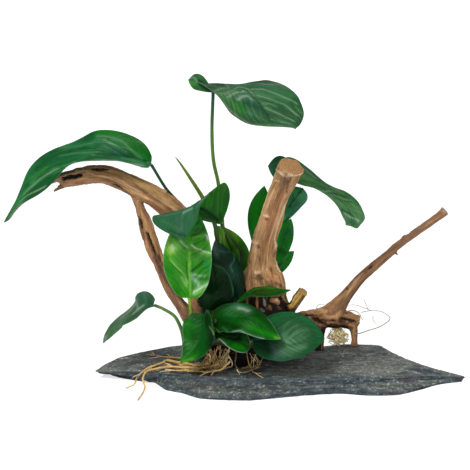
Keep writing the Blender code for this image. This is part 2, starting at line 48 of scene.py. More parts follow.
def smoothStep(x, low, high):
    t = np.clip((x - low) / (high - low), 0, 1)
    return t * t * (3 - 2 * t)


def mixed(a, b, share):
    return a + (np.asarray(b) - a) * share[:, None]


def rough(points, octaves=3, shift=0.0):  # fractal noise of about -1 to 1 at each point
    moved = np.asarray(points, float) + (shift, 1.7 * shift, -shift)
    return np.array([noise.fractal(Vector(p), 1.0, 2.0, octaves) for p in moved])


def smoothLine(points, count):  # evenly spaced points on a smooth curve through the given ones
    p = np.array(points, float)
    p = np.vstack([2 * p[0] - p[1], p, 2 * p[-1] - p[-2]])
    t = np.linspace(0, 1, 17)[:-1, None]
    dense = []
    for a, b, c, d in zip(p[:-3], p[1:-2], p[2:-1], p[3:]):
        dense.append(b + 0.5 * t * (c - a + t * (2 * a - 5 * b + 4 * c - d + t * (3 * (b - c) + d - a))))
    dense = np.vstack(dense + [p[-2:-1]])
    run = np.concatenate([[0], np.cumsum(np.linalg.norm(np.diff(dense[:, :3], axis=0), axis=1))])
    wanted = np.linspace(0, run[-1], count)
    return np.stack([np.interp(wanted, run, column) for column in dense.T], 1)


def lengthOf(points):
    return np.linalg.norm(np.diff(np.array(points, float)[:, :3], axis=0), axis=1).sum()


def spacedLine(points, spacing):
    return smoothLine(points, max(3, int(lengthOf(points) / spacing) + 1))


def toSegment(points, start, end):  # each point's distance from the stretch between two places
    start, way = np.array(start, float), np.array(end, float) - np.array(start, float)
    share = np.clip((points - start) @ way / max(way @ way, 1e-9), 0, 1)
    return np.linalg.norm(points - start - share[:, None] * way, axis=1)


def lineFrames(line):  # direction and two sides at each point, without twist, and the length so far
    along = unit(np.gradient(line[:, :3], axis=0))
    side = unit(np.cross(along[0], (0.31, 0.87, 0.38)))
    sides = []
    for direction in along:
        side = unit(side - direction * (side @ direction))
        sides.append(side)
    sides = np.array(sides)
    steps = np.linalg.norm(np.diff(line[:, :3], axis=0), axis=1)
    return along, sides, np.cross(along, sides), np.concatenate([[0], np.cumsum(steps)])


def ringFaces(rings, count):  # faces of rings of points that lie one after another, closed at both ends
    faces = [tuple(range(count))[::-1], tuple(range((rings - 1) * count, rings * count))]
    for i in range(rings - 1):
        for k in range(count):
            j = (k + 1) % count
            faces.append((i * count + k, i * count + j, (i + 1) * count + j, (i + 1) * count + k))
    return faces


def tubeMesh(line, sides, relief):  # line's fourth column is the radius; relief changes it round the tube
    along, side, other, run = lineFrames(line)
    angle = np.tile(2 * math.pi * np.arange(sides) / sides, (len(line), 1))
    radius = line[:, 3:4] * (1 + relief(angle, run[:, None]))
    points = line[:, None, :3] + radius[..., None] * (
        np.cos(angle)[..., None] * side[:, None] + np.sin(angle)[..., None] * other[:, None])
    return points.reshape(-1, 3), ringFaces(len(line), sides)


def joined(parts):  # several (points, faces) as one
    points, faces, base = [], [], 0
    for somePoints, someFaces in parts:
        points.append(somePoints)
        faces += [tuple(c + base for c in face) for face in someFaces]
        base += len(somePoints)
    return np.vstack(points), faces


def store(mesh, name, values):  # a number, vector or colour on every point of a mesh
    values = np.asarray(values, np.float32)
    kind = {1: "FLOAT", 3: "FLOAT_VECTOR", 4: "FLOAT_COLOR"}[1 if values.ndim == 1 else values.shape[1]]
    field = {"FLOAT": "value", "FLOAT_VECTOR": "vector", "FLOAT_COLOR": "color"}[kind]
    mesh.attributes.new(name, kind, "POINT").data.foreach_set(field, values.ravel())


def colours(rgb):
    return np.column_stack([np.clip(rgb, 0, 1), np.ones(len(rgb))])


def placed(name, mesh):  # an object in the scene, at the origin
    mesh.name = name
    piece = bpy.data.objects.new(name, mesh)
    bpy.context.scene.collection.objects.link(piece)
    return piece


def makePiece(name, points, faces, material, fields=None):
    mesh = bpy.data.meshes.new(name)
    mesh.from_pydata((np.asarray(points, float) * mm).tolist(), [], faces)
    mesh.shade_smooth()
    for field, values in (fields or {}).items():
        store(mesh, field, values)
    mesh.materials.append(material)
    return placed(name, mesh)


def settle(piece, nodes):
    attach(piece, "root")
    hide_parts(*nodes)


class Wire:  # one output of a shader node; sums on it add Math nodes
    def __init__(self, finish, socket):
        self.finish = finish
        self.socket = socket

    def math(self, operation, *others):
        values = dict(enumerate((self,) + others))
        return self.finish.node("Math", {"operation": operation}, values)

    def __add__(self, other):
        return self.math("ADD", other)

    def __sub__(self, other):
        return self.math("SUBTRACT", other)

    def __mul__(self, other):
        return self.math("MULTIPLY", other)

    def __rsub__(self, other):
        return self.finish.node("Math", {"operation": "SUBTRACT"}, {0: other, 1: self})

    __radd__ = __add__
    __rmul__ = __mul__


class Finish:  # a material under construction
    def __init__(self, name, **sockets):
        self.material = bpy.data.materials.new(name)
        self.material.use_nodes = True
        self.tree = self.material.node_tree
        self.shader = self.tree.nodes["Principled BSDF"]
        for socket, value in sockets.items():
            self.shader.inputs[socket.replace("_", " ")].default_value = value

    def node(self, kind, settings=None, values=None, output=0):
        made = self.tree.nodes.new("ShaderNode" + kind)
        for setting, value in (settings or {}).items():
            setattr(made, setting, value)
        for key, value in (values or {}).items():
            if isinstance(value, Wire):
                self.tree.links.new(value.socket, made.inputs[key])
            else:
                made.inputs[key].default_value = value
        return Wire(self, made.outputs[output])

    def objectPlace(self):  # object coordinates in millimetres
        place = self.node("TexCoord", output=3)
        return self.node("VectorMath", {"operation": "SCALE"}, {0: place, 3: 1 / mm})

    def field(self, name, output="Fac"):
        return self.node("Attribute", {"attribute_name": name}, output=output)

    def stretched(self, place, x, y, z):
        return self.node("VectorMath", {"operation": "MULTIPLY"}, {0: place, 1: (x, y, z)})

    def noise(self, place, scale=1.0, detail=3.0, hold=0.5, twist=0.0):
        values = {"Vector": place, "Scale": scale, "Detail": detail, "Roughness": hold, "Distortion": twist}
        return self.node("TexNoise", None, values)

    def step(self, value, low, high, atLow=0.0, atHigh=1.0):
        values = {0: value, 1: low, 2: high, 3: atLow, 4: atHigh}
        return self.node("MapRange", {"interpolation_type": "SMOOTHSTEP"}, values)

    def mix(self, share, a, b, blend="MIX"):
        a, b = ((*c, 1.0) if isinstance(c, tuple) and len(c) == 3 else c for c in (a, b))
        return self.node("Mix", {"data_type": "RGBA", "blend_type": blend}, {0: share, 6: a, 7: b}, 2)

    def feed(self, socket, wire):
        self.tree.links.new(wire.socket, self.shader.inputs[socket])

    def bump(self, height, distance, strength):  # distance in millimetres
        return self.node("Bump", None, {"Strength": strength, "Distance": distance * mm, "Height": height})


# Slate: a split slab. Outline rows are x and y on the floor, x and y of the rim, and the rim's height.
slate = {
    "outline": [
        (148, -11, 150, -14, 5), (137, -3, 134, -5, 7), (122, 5, 117, 2, 10),
        (106, 18, 102, 16, 12), (95, 33, 92, 30, 13), (87, 45, 85, 43, 13),
        (56, 49, 56, 46, 13), (30, 41, 30, 38, 13), (0, 44, 0, 42, 13),
        (-40, 47, -40, 45, 13), (-84, 46, -84, 43, 13), (-116, 30, -116, 28, 12),
        (-133, 20, -136, 17, 10), (-143, 8, -151, -6, 7), (-131, -3, -131, -12, 9),
        (-112, -12, -108, -18, 10), (-102, -15, -99, -21, 11), (-93, -31, -90, -24, 11),
        (-80, -38, -77, -28, 12), (-64, -51, -62, -34, 13), (-25, -55, -25, -39, 13),
        (14, -45, 14, -39, 13), (46, -40, 46, -37, 13), (70, -44, 69, -34, 12),
        (94, -42, 94, -28, 11), (128, -19, 121, -17, 7)],
    "top": 13.0,
    "around": 620,       # points round the edge
    "layers": 11,        # split layers that show in the edge
    "rings": 52,         # rings of points on the upper face
    "profile": ((0.0, 0.22, 0.48, 0.56, 1.0), (0.0, -0.06, 0.25, 0.75, 1.0)),
    "flakes": 0.9,       # how deep the upper face is flaked
    "chips": 1.1,        # how far the edge is chipped
    "sharp": 48,         # degrees between faces that meet in a sharp edge
    # Painted shadow, dark patches of the upper face under the plant: x, y, reach along x and y, strength.
    "shadowPatches": ((-30, -26, 62, 16, 0.75), (62, 34, 24, 10, 0.8), (20, 12, 60, 18, 0.5),
               (-96, 2, 22, 12, 0.35), (-33, -7, 15, 12, 2.6)),
    "topPaints": {
        "low": (0.030, 0.043, 0.046), "high": (0.108, 0.122, 0.108), "pale": (0.175, 0.185, 0.155),
        "warm": (0.110, 0.080, 0.072), "grit": (0.46, 0.48, 0.43), "pits": (0.014, 0.022, 0.027),
        "damp": (0.014, 0.022, 0.028)},
    "edgePaints": {
        "low": (0.018, 0.030, 0.038), "high": (0.062, 0.080, 0.088), "warm": (0.080, 0.070, 0.095),
        "layers": (0.012, 0.019, 0.024), "grit": (0.34, 0.40, 0.40), "pits": (0.010, 0.017, 0.022)},
}


def slateFinish():
    f = Finish("splitSlate", Specular_IOR_Level=0.35)
    place = f.objectPlace()
    patch = f.noise(f.stretched(place, 0.018, 0.05, 0.05), 1.0, 4.0, 0.6, 0.6)
    flake = f.noise(f.stretched(place, 0.13, 0.24, 0.30), 1.0, 6.0, 0.72, 0.5)
    grit = f.noise(f.stretched(place, 0.50, 0.42, 0.80), 1.0, 4.0, 0.7, 0.3)
    warm = f.noise(f.stretched(place, 0.06, 0.10, 0.12), 1.0, 3.0, 0.6)
    strata = f.noise(f.stretched(place, 0.05, 0.06, 0.9), 1.0, 4.0, 0.65, 0.2)
    facing = f.node("NewGeometry", output=1)
    upward = f.step(f.node("SeparateXYZ", None, {0: facing}, 2), 0.45, 0.9)
    shadowShare = f.field("shadowShare")
    paint = slate["topPaints"]
    top = f.mix(f.step(flake, 0.40, 0.60), paint["low"], paint["high"])
    top = f.mix(f.step(patch, 0.48, 0.66) * 0.5, top, paint["pale"])
    top = f.mix(f.step(warm, 0.50, 0.68) * 0.4, top, paint["warm"])
    top = f.mix(f.step(grit, 0.52, 0.64) * f.step(flake, 0.44, 0.60) * 0.85, top, paint["grit"])
    top = f.mix(f.step(grit, 0.46, 0.34) * 0.75, top, paint["pits"])
    # painted shadow on the upper face under the wood, roots and leaves
    top = f.mix(shadowShare * f.step(patch + warm, 1.3, 0.7), top, paint["damp"])
    paint = slate["edgePaints"]
    edge = f.mix(f.step(flake, 0.40, 0.62), paint["low"], paint["high"])
    edge = f.mix(f.step(warm, 0.50, 0.66) * 0.45, edge, paint["warm"])
    edge = f.mix(f.step(strata, 0.54, 0.70) * 0.4, edge, paint["layers"])
    edge = f.mix(f.step(grit, 0.53, 0.66) * f.step(flake, 0.46, 0.60) * 0.8, edge, paint["grit"])
    edge = f.mix(f.step(grit, 0.45, 0.34) * 0.6, edge, paint["pits"])
    f.feed("Base Color", f.mix(upward, edge, top))
    f.feed("Roughness", f.step(patch + grit * 0.5, 0.45, 1.0, 0.58, 0.88))
    relief = flake * 0.6 + strata * (1 - upward) * 0.9 + grit * 0.4
    f.feed("Normal", f.bump(relief, 0.55, 0.75))
    return f.material


def makeSlate():
    rows = np.array(slate["outline"], float)
    count, closed = slate["around"], np.vstack([rows, rows[:1]])
    wrapped = np.vstack([rows[-1:], closed, rows[1:2]])
    u = np.linspace(0, len(rows), count, endpoint=False)
    sharp = np.stack([np.interp(u, np.arange(len(rows) + 1), column) for column in closed.T], 1)
    k, t = u.astype(int), (u % 1)[:, None]
    a, b, c, d = wrapped[k], wrapped[k + 1], wrapped[k + 2], wrapped[(k + 3) % len(wrapped)]
    soft = b + 0.5 * t * (c - a + t * (2 * a - 5 * b + 4 * c - d + t * (3 * (b - c) + d - a)))
    edge = 0.45 * sharp + 0.55 * soft
    foot, rim, height = edge[:, :2], edge[:, 2:4], np.clip(edge[:, 4], 4, slate["top"])
    ring3 = np.column_stack([rim, np.zeros(count)])
    outward = unit(rim)
    levels = slate["layers"]
    rings = []
    for layer in range(levels):  # each split layer has its own chipped outline
        chip = rough(ring3 * 0.05, 3, 5.0 + 3.1 * layer) + 0.5 * rough(ring3 * 0.22, 2, 9.0 + 1.3 * layer)
        low, high = layer / levels, (layer + 1) / levels
        for level in (low + 0.012, high - 0.012):
            inward = np.interp(level, *slate["profile"])
            line = foot + (rim - foot) * inward + outward * (chip * slate["chips"] - 0.5)[:, None]
            rings.append(np.column_stack([line, height * level]))
    rings[0][:, 2] = 0
    lastLine = rings[-1][:, :2]
    for n in range(1, slate["rings"]):
        share = 1 - (n / slate["rings"]) ** 1.15
        flat = lastLine * share
        place = np.column_stack([flat, np.zeros(count)])
        rise = smoothStep(np.full(count, 1 - share), 0, 0.26)
        base = height + (slate["top"] - height) * rise
        waves = rough(place * (0.018, 0.045, 1), 4, 40.0) * 3.2
        flake = np.floor(waves) + smoothStep(waves % 1, 0.35, 0.65)  # cleavage steps
        fine = rough(place * (0.11, 0.3, 1), 3, 60.0)
        drop = slate["flakes"] * (0.45 + 0.2 * flake + 0.16 * fine)
        level = base - drop * smoothStep(1 - share, 0, 0.03)
        rings.append(np.column_stack([flat, np.minimum(level, slate["top"] - 0.05)]))
    points = np.vstack(rings)
    shadowShare, ragged = np.zeros(len(points)), 0.25 * rough(points * 0.09, 3, 70.0)
    # patches of painted shadow, with ragged edges
    for x, y, alongX, alongY, strength in slate["shadowPatches"]:
        fall = np.exp(-((points[:, 0] - x) / alongX) ** 2 - ((points[:, 1] - y) / alongY) ** 2)
        shadowShare = np.maximum(shadowShare, strength * np.clip(1.3 * fall + ragged - 0.1, 0, 1))
    piece = makePiece("slateBase", points, ringFaces(len(rings), count), slateFinish(), {"shadowShare": shadowShare})
    piece.data.set_sharp_from_angle(angle=math.radians(slate["sharp"]))
    settle(piece, ["slate_base"])
    print("slate:", len(piece.data.polygons), "faces")


makeSlate()


# Driftwood: limbs fused into one grown piece. A row of line is a point and the radius there;
# grooves is how deep the grain is washed out, in millimetres.
driftwood = {
    "voxel": 0.8, "spacing": 1.5, "sides": 26, "markSpacing": 2.0,
    # How fine each kind of roughness is.
    "grainScale": (0.035, 0.34, 0.34), "waveScale": 0.055, "lumpScale": 0.20,
    "edgeScale": 0.55, "splinterScale": 0.9, "ringScale": 2.4,
    "flutes": ((3, 0.07, 0.6), (5, 0.045, 2.1)),
    "limbs": {
        # The stump's near-black tone is painted shade: it stands in shade under the leaves.
        "stump": {"tone": (0.016, 0.009, 0.005), "grooves": 0.7, "lumps": 1.6, "line": [
            (-78, 8, 27, 9), (-64, 8, 32, 16), (-45, 8, 33, 18), (-22, 11, 34, 20),
            (-4, 13, 36, 20), (10, 15, 38, 15), (20, 17, 40, 8)]},
        "archLimb": {"tone": (0.275, 0.142, 0.060), "grooves": 0.55, "lumps": 0.5, "line": [
            (-176, -3, 165.3, 3.2), (-170, -3, 166.5, 4.9), (-166, -2, 167, 5.7), (-157, -2, 169, 6.8),
            (-140, -2, 170, 7.2), (-119, -1, 161, 7.6), (-102, 0, 152, 8), (-85, 1, 138, 9),
            (-75, 3, 121, 8.6), (-71, 4, 102, 8), (-68, 6, 81, 8.6), (-62, 8, 53, 9.6), (-57, 10, 36, 9)]},
        "upperProng": {"tone": (0.20, 0.12, 0.075), "grooves": 0.5, "lumps": 0.2, "line": [
            (-162, -3, 170.5, 4), (-172, -3.5, 168.4, 3.6), (-180, -4, 165.6, 2.3),
            (-186, -5, 162.6, 1.0)]},
        "lowerProng": {"tone": (0.26, 0.15, 0.085), "grooves": 0.5, "lumps": 0.2, "line": [
            (-158, -2, 165.4, 4), (-168, -2, 163.0, 3.4), (-174.5, -2.6, 160.4, 2.3),
            (-181, -3, 156.4, 0.8)]},
        "strut": {"tone": (0.27, 0.135, 0.060), "grooves": 0.5, "lumps": 0.45, "line": [
            (-119, -2, 160, 3.2), (-114, -2, 148, 3.6), (-111, -2, 139, 4), (-107, -2, 129, 4.6),
            (-103, -2, 112, 5.8), (-97, -2, 96, 4.6), (-93, -2, 83, 4), (-88, -1, 72, 4.2),
            (-81.4, 0, 62, 5), (-74, 2, 51, 6.4), (-65, 6, 37, 7)]},
        "strutSplinter": {"tone": (0.16, 0.085, 0.045), "grooves": 0.3, "lumps": 0.3, "line": [
            (-113.6, -3, 141, 1.4), (-112.6, -3.6, 134, 1.5), (-111.4, -3.4, 127, 1.8),
            (-109, -3, 118, 2.2)]},
        "trunk": {"tone": (0.35, 0.188, 0.080), "grooves": 0.26, "lumps": 0.35, "line": [
            (9.6, -1, 184, 10.4), (7, 0.5, 176, 10.3), (3, 2.5, 166, 9.6), (-1.5, 3, 156, 8.7),
            (-4.5, 3.5, 148, 8.5), (-9, 4.5, 131, 9.4), (-13.8, 5.5, 114.5, 10), (-16, 7, 98, 11.3),
            (-15.3, 7.7, 87, 13.6), (-14, 8, 79, 16), (-12, 10, 58, 16), (-12, 11, 44, 14)]},
        "heel": {"tone": (0.40, 0.200, 0.090), "grooves": 0.4, "lumps": 0.8, "line": [
            (-18.5, 8, 99, 4), (-23, 8, 89, 5.6), (-26, 8.5, 81, 6.4), (-25.5, 9, 75, 5.6)]},
        # heelFoot and crown are near-black painted shade: dark wood filling gaps that lie in shade under
        # the leaves.
        "heelFoot": {"tone": (0.014, 0.008, 0.005), "grooves": 0.5, "lumps": 1.2, "line": [
            (-26.5, 9, 71, 6), (-30.5, 10, 62, 7), (-31.5, 11, 50, 7)]},
        "crown": {"tone": (0.010, 0.006, 0.004), "grooves": 0.5, "lumps": 1.2, "line": [
            (-54, -3, 20, 5), (-42, -7, 19.5, 6.5), (-28, -6, 20.5, 7), (-15, -2, 22, 6)]},
        "trunkFoot": {"tone": (0.10, 0.045, 0.020), "grooves": 0.5, "lumps": 1.4, "line": [
            (-4, 4, 76, 4), (0, 5, 66, 4.5), (2, 8, 54, 6), (1, 10, 42, 8)]},
        "stub": {"tone": (0.115, 0.055, 0.026), "grooves": 0.45, "lumps": 0.5, "line": [
            (-2, 9, 36, 5), (5, 6, 50, 4.6), (13, 4, 64, 4.3), (19, 2, 73, 4.4)]},
        "rightRoot": {"tone": (0.34, 0.165, 0.072), "grooves": 0.6, "lumps": 1.1, "line": [
            (5, 15, 42, 5.5), (14, 20, 44, 4.8), (25, 28, 43, 5.4), (36, 34, 40, 7.4),
            (48, 39, 38, 7.6), (58, 41, 37, 6.4), (68, 42, 35, 4.6)]},
        "branch": {"tone": (0.180, 0.092, 0.047), "grooves": 0.22, "lumps": 0.2, "line": [
            (47, 38, 40, 6.6), (52, 38, 51, 6), (58, 38, 60, 5), (67, 38, 72, 4.3),
            (77, 37, 82, 4), (92, 36, 96, 3.5), (100, 35, 104, 3.3), (122, 33, 121, 3.2),
            (132, 32, 129, 3.4), (136, 32, 133, 4.1)]},
        "branchFlare": {"tone": (0.31, 0.160, 0.068), "grooves": 0.3, "lumps": 0.4, "line": [
            (28, 30, 45, 3), (38, 34, 47, 3.5), (45, 36.5, 51, 3.6), (53, 38, 58.6, 3),
            (60, 38, 66.5, 2.6)]},
        "branchSpur": {"tone": (0.2, 0.11, 0.06), "grooves": 0.1, "lumps": 0.1, "line": [
            (95, 36, 98, 1.6), (97, 35.6, 95.2, 1.1), (98.2, 35.4, 93.8, 0.6)]},
        "rightFoot": {"tone": (0.24, 0.118, 0.054), "grooves": 0.6, "lumps": 0.4, "line": [
            (62, 41, 36, 4.2), (63.4, 41, 28, 3.5), (64, 41, 20, 2.9), (64, 41, 12, 3.4)]},
        # The middle foot's near-black tone is painted shade under the right root.
        "middleFoot": {"tone": (0.018, 0.010, 0.006), "grooves": 0.6, "lumps": 0.6, "line": [
            (36, 33, 38, 4.6), (34, 32, 24, 3.6), (34, 32, 12, 4)]},
        "clumpArch": {"tone": (0.17, 0.08, 0.04), "grooves": 0.5, "lumps": 0.8, "line": [
            (40, 36, 36, 3), (46, 37, 33, 2.6), (53, 38, 32.6, 2.6), (60, 40, 31, 3)]},
    },
    # Saw cuts: a point of the plane, its outward normal, how far round the point it reaches, colours.
    "cuts": (
        ((6.8, 0, 175.6), (0.26, -0.34, 0.90), 18, (0.56, 0.285, 0.115), "cream"),
        ((19, 2, 73), (0.45, -0.62, 0.64), 7, (0.36, 0.20, 0.055), "torn"),
        ((135.4, 32, 132.4), (0.70, -0.20, 0.69), 8, (0.36, 0.25, 0.18), "tan"),
    ),
    # Marks: a path on the wood, radius, height (below zero is a hollow), colour, how much of the colour.
    "marks": (
        (((-171.7, -5.8, 167.3), (-165.2, -7.2, 168.8), (-158.7, -8.3, 170.6)), 2.2, -2.4, "void", 1),
        (((-177.8, -3.3, 159.1), (-172.2, -2.8, 160.6)), 1.6, -0.8, "dark", 0.5),
        (((-150.2, -6.5, 175.2), (-143.8, -7.2, 175.2), (-137.6, -6.2, 174.5)), 1.5, -1.3, "void", 0.95),
        (((-133.1, -7.2, 162.9), (-126, -7.1, 159.9)), 1.1, -1, "void", 0.85),
        (((-159, -4.2, 177.8), (-149.5, -4.5, 178.2), (-140.8, 2.5, 175.4)), 2.6, -0.2, "purple", 0.7),
        (((-138.5, -4.8, 175.9), (-124.4, -4.6, 171.5), (-112, -4.3, 165.4),
          (-99.5, -3.5, 159.2)), 1.3, 0, "moss", 0.6),
        (((-162.1, -5.8, 173), (-155.6, -7, 173.9), (-149.2, -8.8, 171.5)), 0.9, 0.3, "pale", 0.6),
        (((-149.2, -8.7, 170.7), (-138.3, -8.8, 169.5), (-127.4, -8.6, 165.9), (-113.4, -7.7, 157.2),
          (-102.6, -6.6, 147.7)), 0.8, 0.2, "pale", 0.6),
        (((-135.2, -6.7, 173.5), (-119.6, -6.7, 167.1), (-104, -7.3, 156.7)), 2, 0, "gold", 0.65),
        (((-121.3, -5.3, 169.2), (-110.3, -6, 162.9), (-96.2, -7.1, 151.9)), 1.4, 0, "gold", 0.6),
        (((-143, -8.4, 168.6), (-133.8, -7.7, 164.4), (-124.5, -6.9, 158.6),
          (-115.4, -3.8, 151.1)), 1, -0.4, "dark", 0.75),
        (((-122.7, -7.6, 166.9), (-111.8, -8, 159.7), (-99.4, -7.1, 147.8)), 0.7, -0.4, "dark", 0.6),
        (((-130.5, -8, 170.2), (-118.1, -7.4, 164.8), (-104, -7.9, 155.3)), 0.6, -0.3, "dark", 0.6),
        (((-170.5, -4, 162.5), (-159, -7.3, 165.6), (-146.4, -7.2, 165.6),
          (-135.4, -7, 162.7)), 2.2, 0, "pink", 0.45),
        (((-104.2, -6.2, 147.6), (-96.4, -6.2, 141.9), (-86.9, -7.3, 139)), 3, 0, "rust", 0.6),
        (((-104, -7.9, 155.3), (-93.1, -7.7, 148), (-83.7, -6.9, 142.1)), 1, 0.2, "pale", 0.5),
        (((-100.9, -5.6, 158), (-91.5, -5.8, 151.6), (-82.1, -5.4, 144.2)), 1.8, 0, "gold", 0.55),
        (((-91.8, 1.9, 158.4), (-90, -2.5, 158.1)), 1.6, 1, "pale", 0.55),
        (((-107.7, -6.3, 124), (-103.1, -7.4, 112.8), (-100, -7.3, 104.5)), 1.6, -4.6, "void", 1),
        (((-113.2, -4.4, 135.8), (-111, -4.8, 126.9)), 1.3, -2.2, "void", 0.9),
        (((-111.4, -5.9, 141.9), (-107.7, -6.5, 129), (-101.5, -7, 114.4),
          (-96.9, -6.4, 102.7)), 1.2, 0, "gold", 0.6),
        (((-99.2, -7.2, 102.9), (-93.1, -5.8, 88.4), (-84.5, -3.4, 73.5),
          (-76.8, 2.7, 61.6)), 3.8, -0.2, "purple", 1),
        (((-95.5, -7, 108), (-89.5, -6, 95), (-82.5, -5, 82), (-76.5, -3, 70)), 2, 0.2, "peach", 0.5),
        (((-103.1, -7.1, 109.5), (-95.4, -6.3, 91), (-86.1, -4.5, 73.8)), 1, -0.6, "dark", 0.6),
        (((-96.9, -6.5, 99.4), (-89.2, -4.5, 82.2), (-81.4, -3, 70)), 0.8, 0.1, "pink", 0.6),
        (((-71, -0.1, 67.5), (-68.7, 0.6, 55.4)), 5.5, 0.3, "peach", 0.85),
        (((-86, -4, 72), (-78, -3, 57), (-70, -2, 45)), 4.6, 0, "purple", 0.65),
        (((-85, -4, 71), (-77, -4, 55)), 1.1, 0.1, "pink", 0.7),
        (((-80, -4, 70), (-72, -4, 52)), 0.9, -0.6, "dark", 0.8),
        (((-4.3, -2.5, 174.3), (-0.8, -6.5, 171.9), (3.1, -7.2, 169.6), (7, -8, 171), (11.7, -6.8, 171.1),
          (15.6, 0.3, 172.5)), 1.5, 0.7, "cream", 0.95),
        (((-1.6, -5.9, 173.7), (0.7, -6.8, 170.7)), 0.9, 0.5, "cream", 0.9),
        (((3.8, -8, 173), (6.2, -7.8, 170.1)), 0.9, 0.5, "cream", 0.9),
        (((1.9, -6.7, 167.9), (3.2, -5.8, 159.6), (1.4, -3.8, 150.3)), 2, -0.9, "torn", 0.9),
        (((7, -7.7, 169.3), (5.3, -5.6, 161.2), (4.2, -3.4, 154.3)), 0.9, -1, "void", 0.6),
        (((9.4, -6.4, 167.8), (7.3, -2.5, 157.3)), 1.4, 0.3, "pink", 0.6),
        (((-0.4, -6, 167.8), (-1.5, -5.2, 157.9), (-4.5, -4.4, 146.4)), 0.8, -0.4, "dark", 0.5),
        (((-5.1, -3.7, 165), (-2.3, -5.3, 165)), 0.9, 0.7, "cream", 0.8),
        (((2, -6.8, 168), (-2, -5, 151), (-7, -4.3, 133), (-9, -4, 118)), 4.2, 0, "torn", 0.36),
        (((4, -6.8, 168), (0.5, -5.4, 156), (-3, -4.6, 142)), 4.2, 0, "torn", 0.5),
        (((-3.5, -5.5, 166), (-7, -4.5, 150), (-9.5, -4, 138)), 0.7, -0.3, "torn", 0.6),
        (((4.5, -6.4, 167), (3.6, -4.8, 158)), 0.8, -0.5, "dark", 0.7),
        (((-13, -3.6, 128), (-16, -3.4, 114), (-17, -3.6, 100)), 0.8, -0.3, "torn", 0.5),
        # painted highlight: cream lines along the trunk's left and right edges
        (((-4.4, -2.9, 171.9), (-8.8, -1.3, 159.5), (-13.9, 0, 145.4), (-19.3, 11, 128.1),
          (-24.1, 7.3, 114), (-26.1, 2.1, 103.7)), 1.3, 0, "cream", 0.6),
        (((8.1, -3.5, 160), (6.8, 1.6, 151.6), (3.3, -0.1, 145.4), (0.4, -0.9, 137.5),
          (-2.7, -1.7, 127.8), (-4.7, -0.8, 117.7), (-4.8, 2.6, 106.9)), 1.2, 0.2, "cream", 0.65),
        (((5.8, -2.4, 150), (2.7, -1.6, 146.6)), 1.5, -0.3, "rust", 0.8),
        (((0.9, -5.2, 156.3), (-4.5, -4.3, 144.8), (-8.4, -4.1, 131.7), (-10.3, -3.9, 118.5),
          (-11.4, -3.7, 106.9)), 3.6, -0.3, "rust", 0.6),
        (((-7.7, -3.7, 156), (-14.7, -1.2, 139.1), (-19.4, -1.3, 122.8),
          (-21.8, -2.2, 108.2)), 3, 0.1, "pale", 0.6),
        (((-13.9, -2.9, 136.8), (-10, -3.9, 135.7)), 1.4, 0.9, "cream", 0.5),
        (((-13.1, -3.4, 134), (-10.8, -3.9, 133.3)), 1.2, -0.6, "dark", 0.7),
        (((-23, 0.6, 114.9), (-19.4, -2.7, 113.8)), 1.9, 1.2, "cream", 0.4),
        (((-19.4, -2.7, 111.6), (-18.1, -3, 110.5)), 1.5, -0.7, "dark", 0.75),
        (((-4.4, 1.5, 113), (-3.7, 3.9, 106.6)), 1.6, 1, "cream", 0.6),
        (((-5.1, 2.5, 104), (-5.6, 2.1, 101.6)), 1.2, -0.6, "dark", 0.6),
        (((-2.7, 4.7, 96.4), (0.2, 4.9, 87.9)), 1.8, 0.8, "cream", 0.55),
        (((-26.5, 2.1, 100.4), (-24.5, -0.9, 97)), 1.7, -0.6, "dark", 0.7),
        (((-21.3, -3.2, 89.8), (-16.9, -4.1, 89.6)), 1.6, 1.3, "cream", 0.6),
        (((-18.5, -4.2, 86.8), (-14.8, -5, 85.2)), 1.9, -1, "void", 0.65),
        (((-20.1, -4.2, 84.6), (-10.5, -5.9, 82.6)), 1.8, -0.3, "rot", 0.6),
        (((-9.7, -3.5, 90.3), (-0.7, -0.8, 79.5)), 3.6, 0.3, "orange", 0.6),
        (((-8.1, -2, 93.2), (-6.4, -1.8, 89)), 1.4, -0.5, "rust", 0.8),
        (((-4, -3.2, 81), (1.9, 2.5, 75.2)), 1.6, -0.8, "rot", 0.75),
        (((-15.3, -5.7, 80.9), (-7.3, -5.7, 79.2)), 2, -0.4, "rot", 0.6),
        (((-28.9, 2.2, 82.8), (-26.5, -1.9, 76.4)), 2.4, 0.4, "pink", 0.6),
        (((-30.2, 9.8, 89.9), (-31.3, 2.5, 78.5)), 1.5, 0.2, "cream", 0.5),
        (((-23.3, -3.9, 81.2), (-21.7, -5, 77.3)), 1.4, -0.6, "dark", 0.5),
        (((-18.6, -2.9, 103.4), (-15.4, -3.9, 93.7)), 1.2, -0.3, "dark", 0.4),
        (((-12.2, -3.6, 103.6), (-12.9, -4.2, 92.1)), 1, -0.3, "dark", 0.4),
        # painted shade: a broad near-black band along the crown, under the low leaves
        (((-54, -8, 20), (-42, -13.5, 19.5), (-28, -13, 20.5), (-15, -8, 22)), 11, 0, "void", 1),
        (((-23, -2.3, 65), (-12, -6, 65.5), (2.8, 3.5, 63)), 7.5, -1, "void", 0.97),
        (((-21.6, -3.2, 57), (-11, -6, 56), (2.9, 4, 56.1)), 6, -0.8, "void", 0.97),
        (((-6.4, -5.6, 67.1), (-0.9, -1.7, 63.8)), 2.4, 1.6, "orange", 0.95),
        (((-4.8, -4.5, 67.6), (-1.5, -2.3, 66.1)), 1.2, 0.4, "cream", 0.8),
        (((-19.6, -5, 69.8), (-18.8, -4, 60.2)), 1.2, 0.9, "orange", 0.85),
        (((-13.7, -5.9, 68.4), (-12.8, -5.2, 62.3)), 1.1, 0.8, "ash", 0.8),
        (((-9.6, -5.5, 62.4), (-7.9, -5.1, 58.9)), 1.2, 0.6, "gold", 0.6),
        (((1.9, 1.9, 68.6), (4.6, 6.4, 60.4)), 1.4, 0.4, "orange", 0.7),
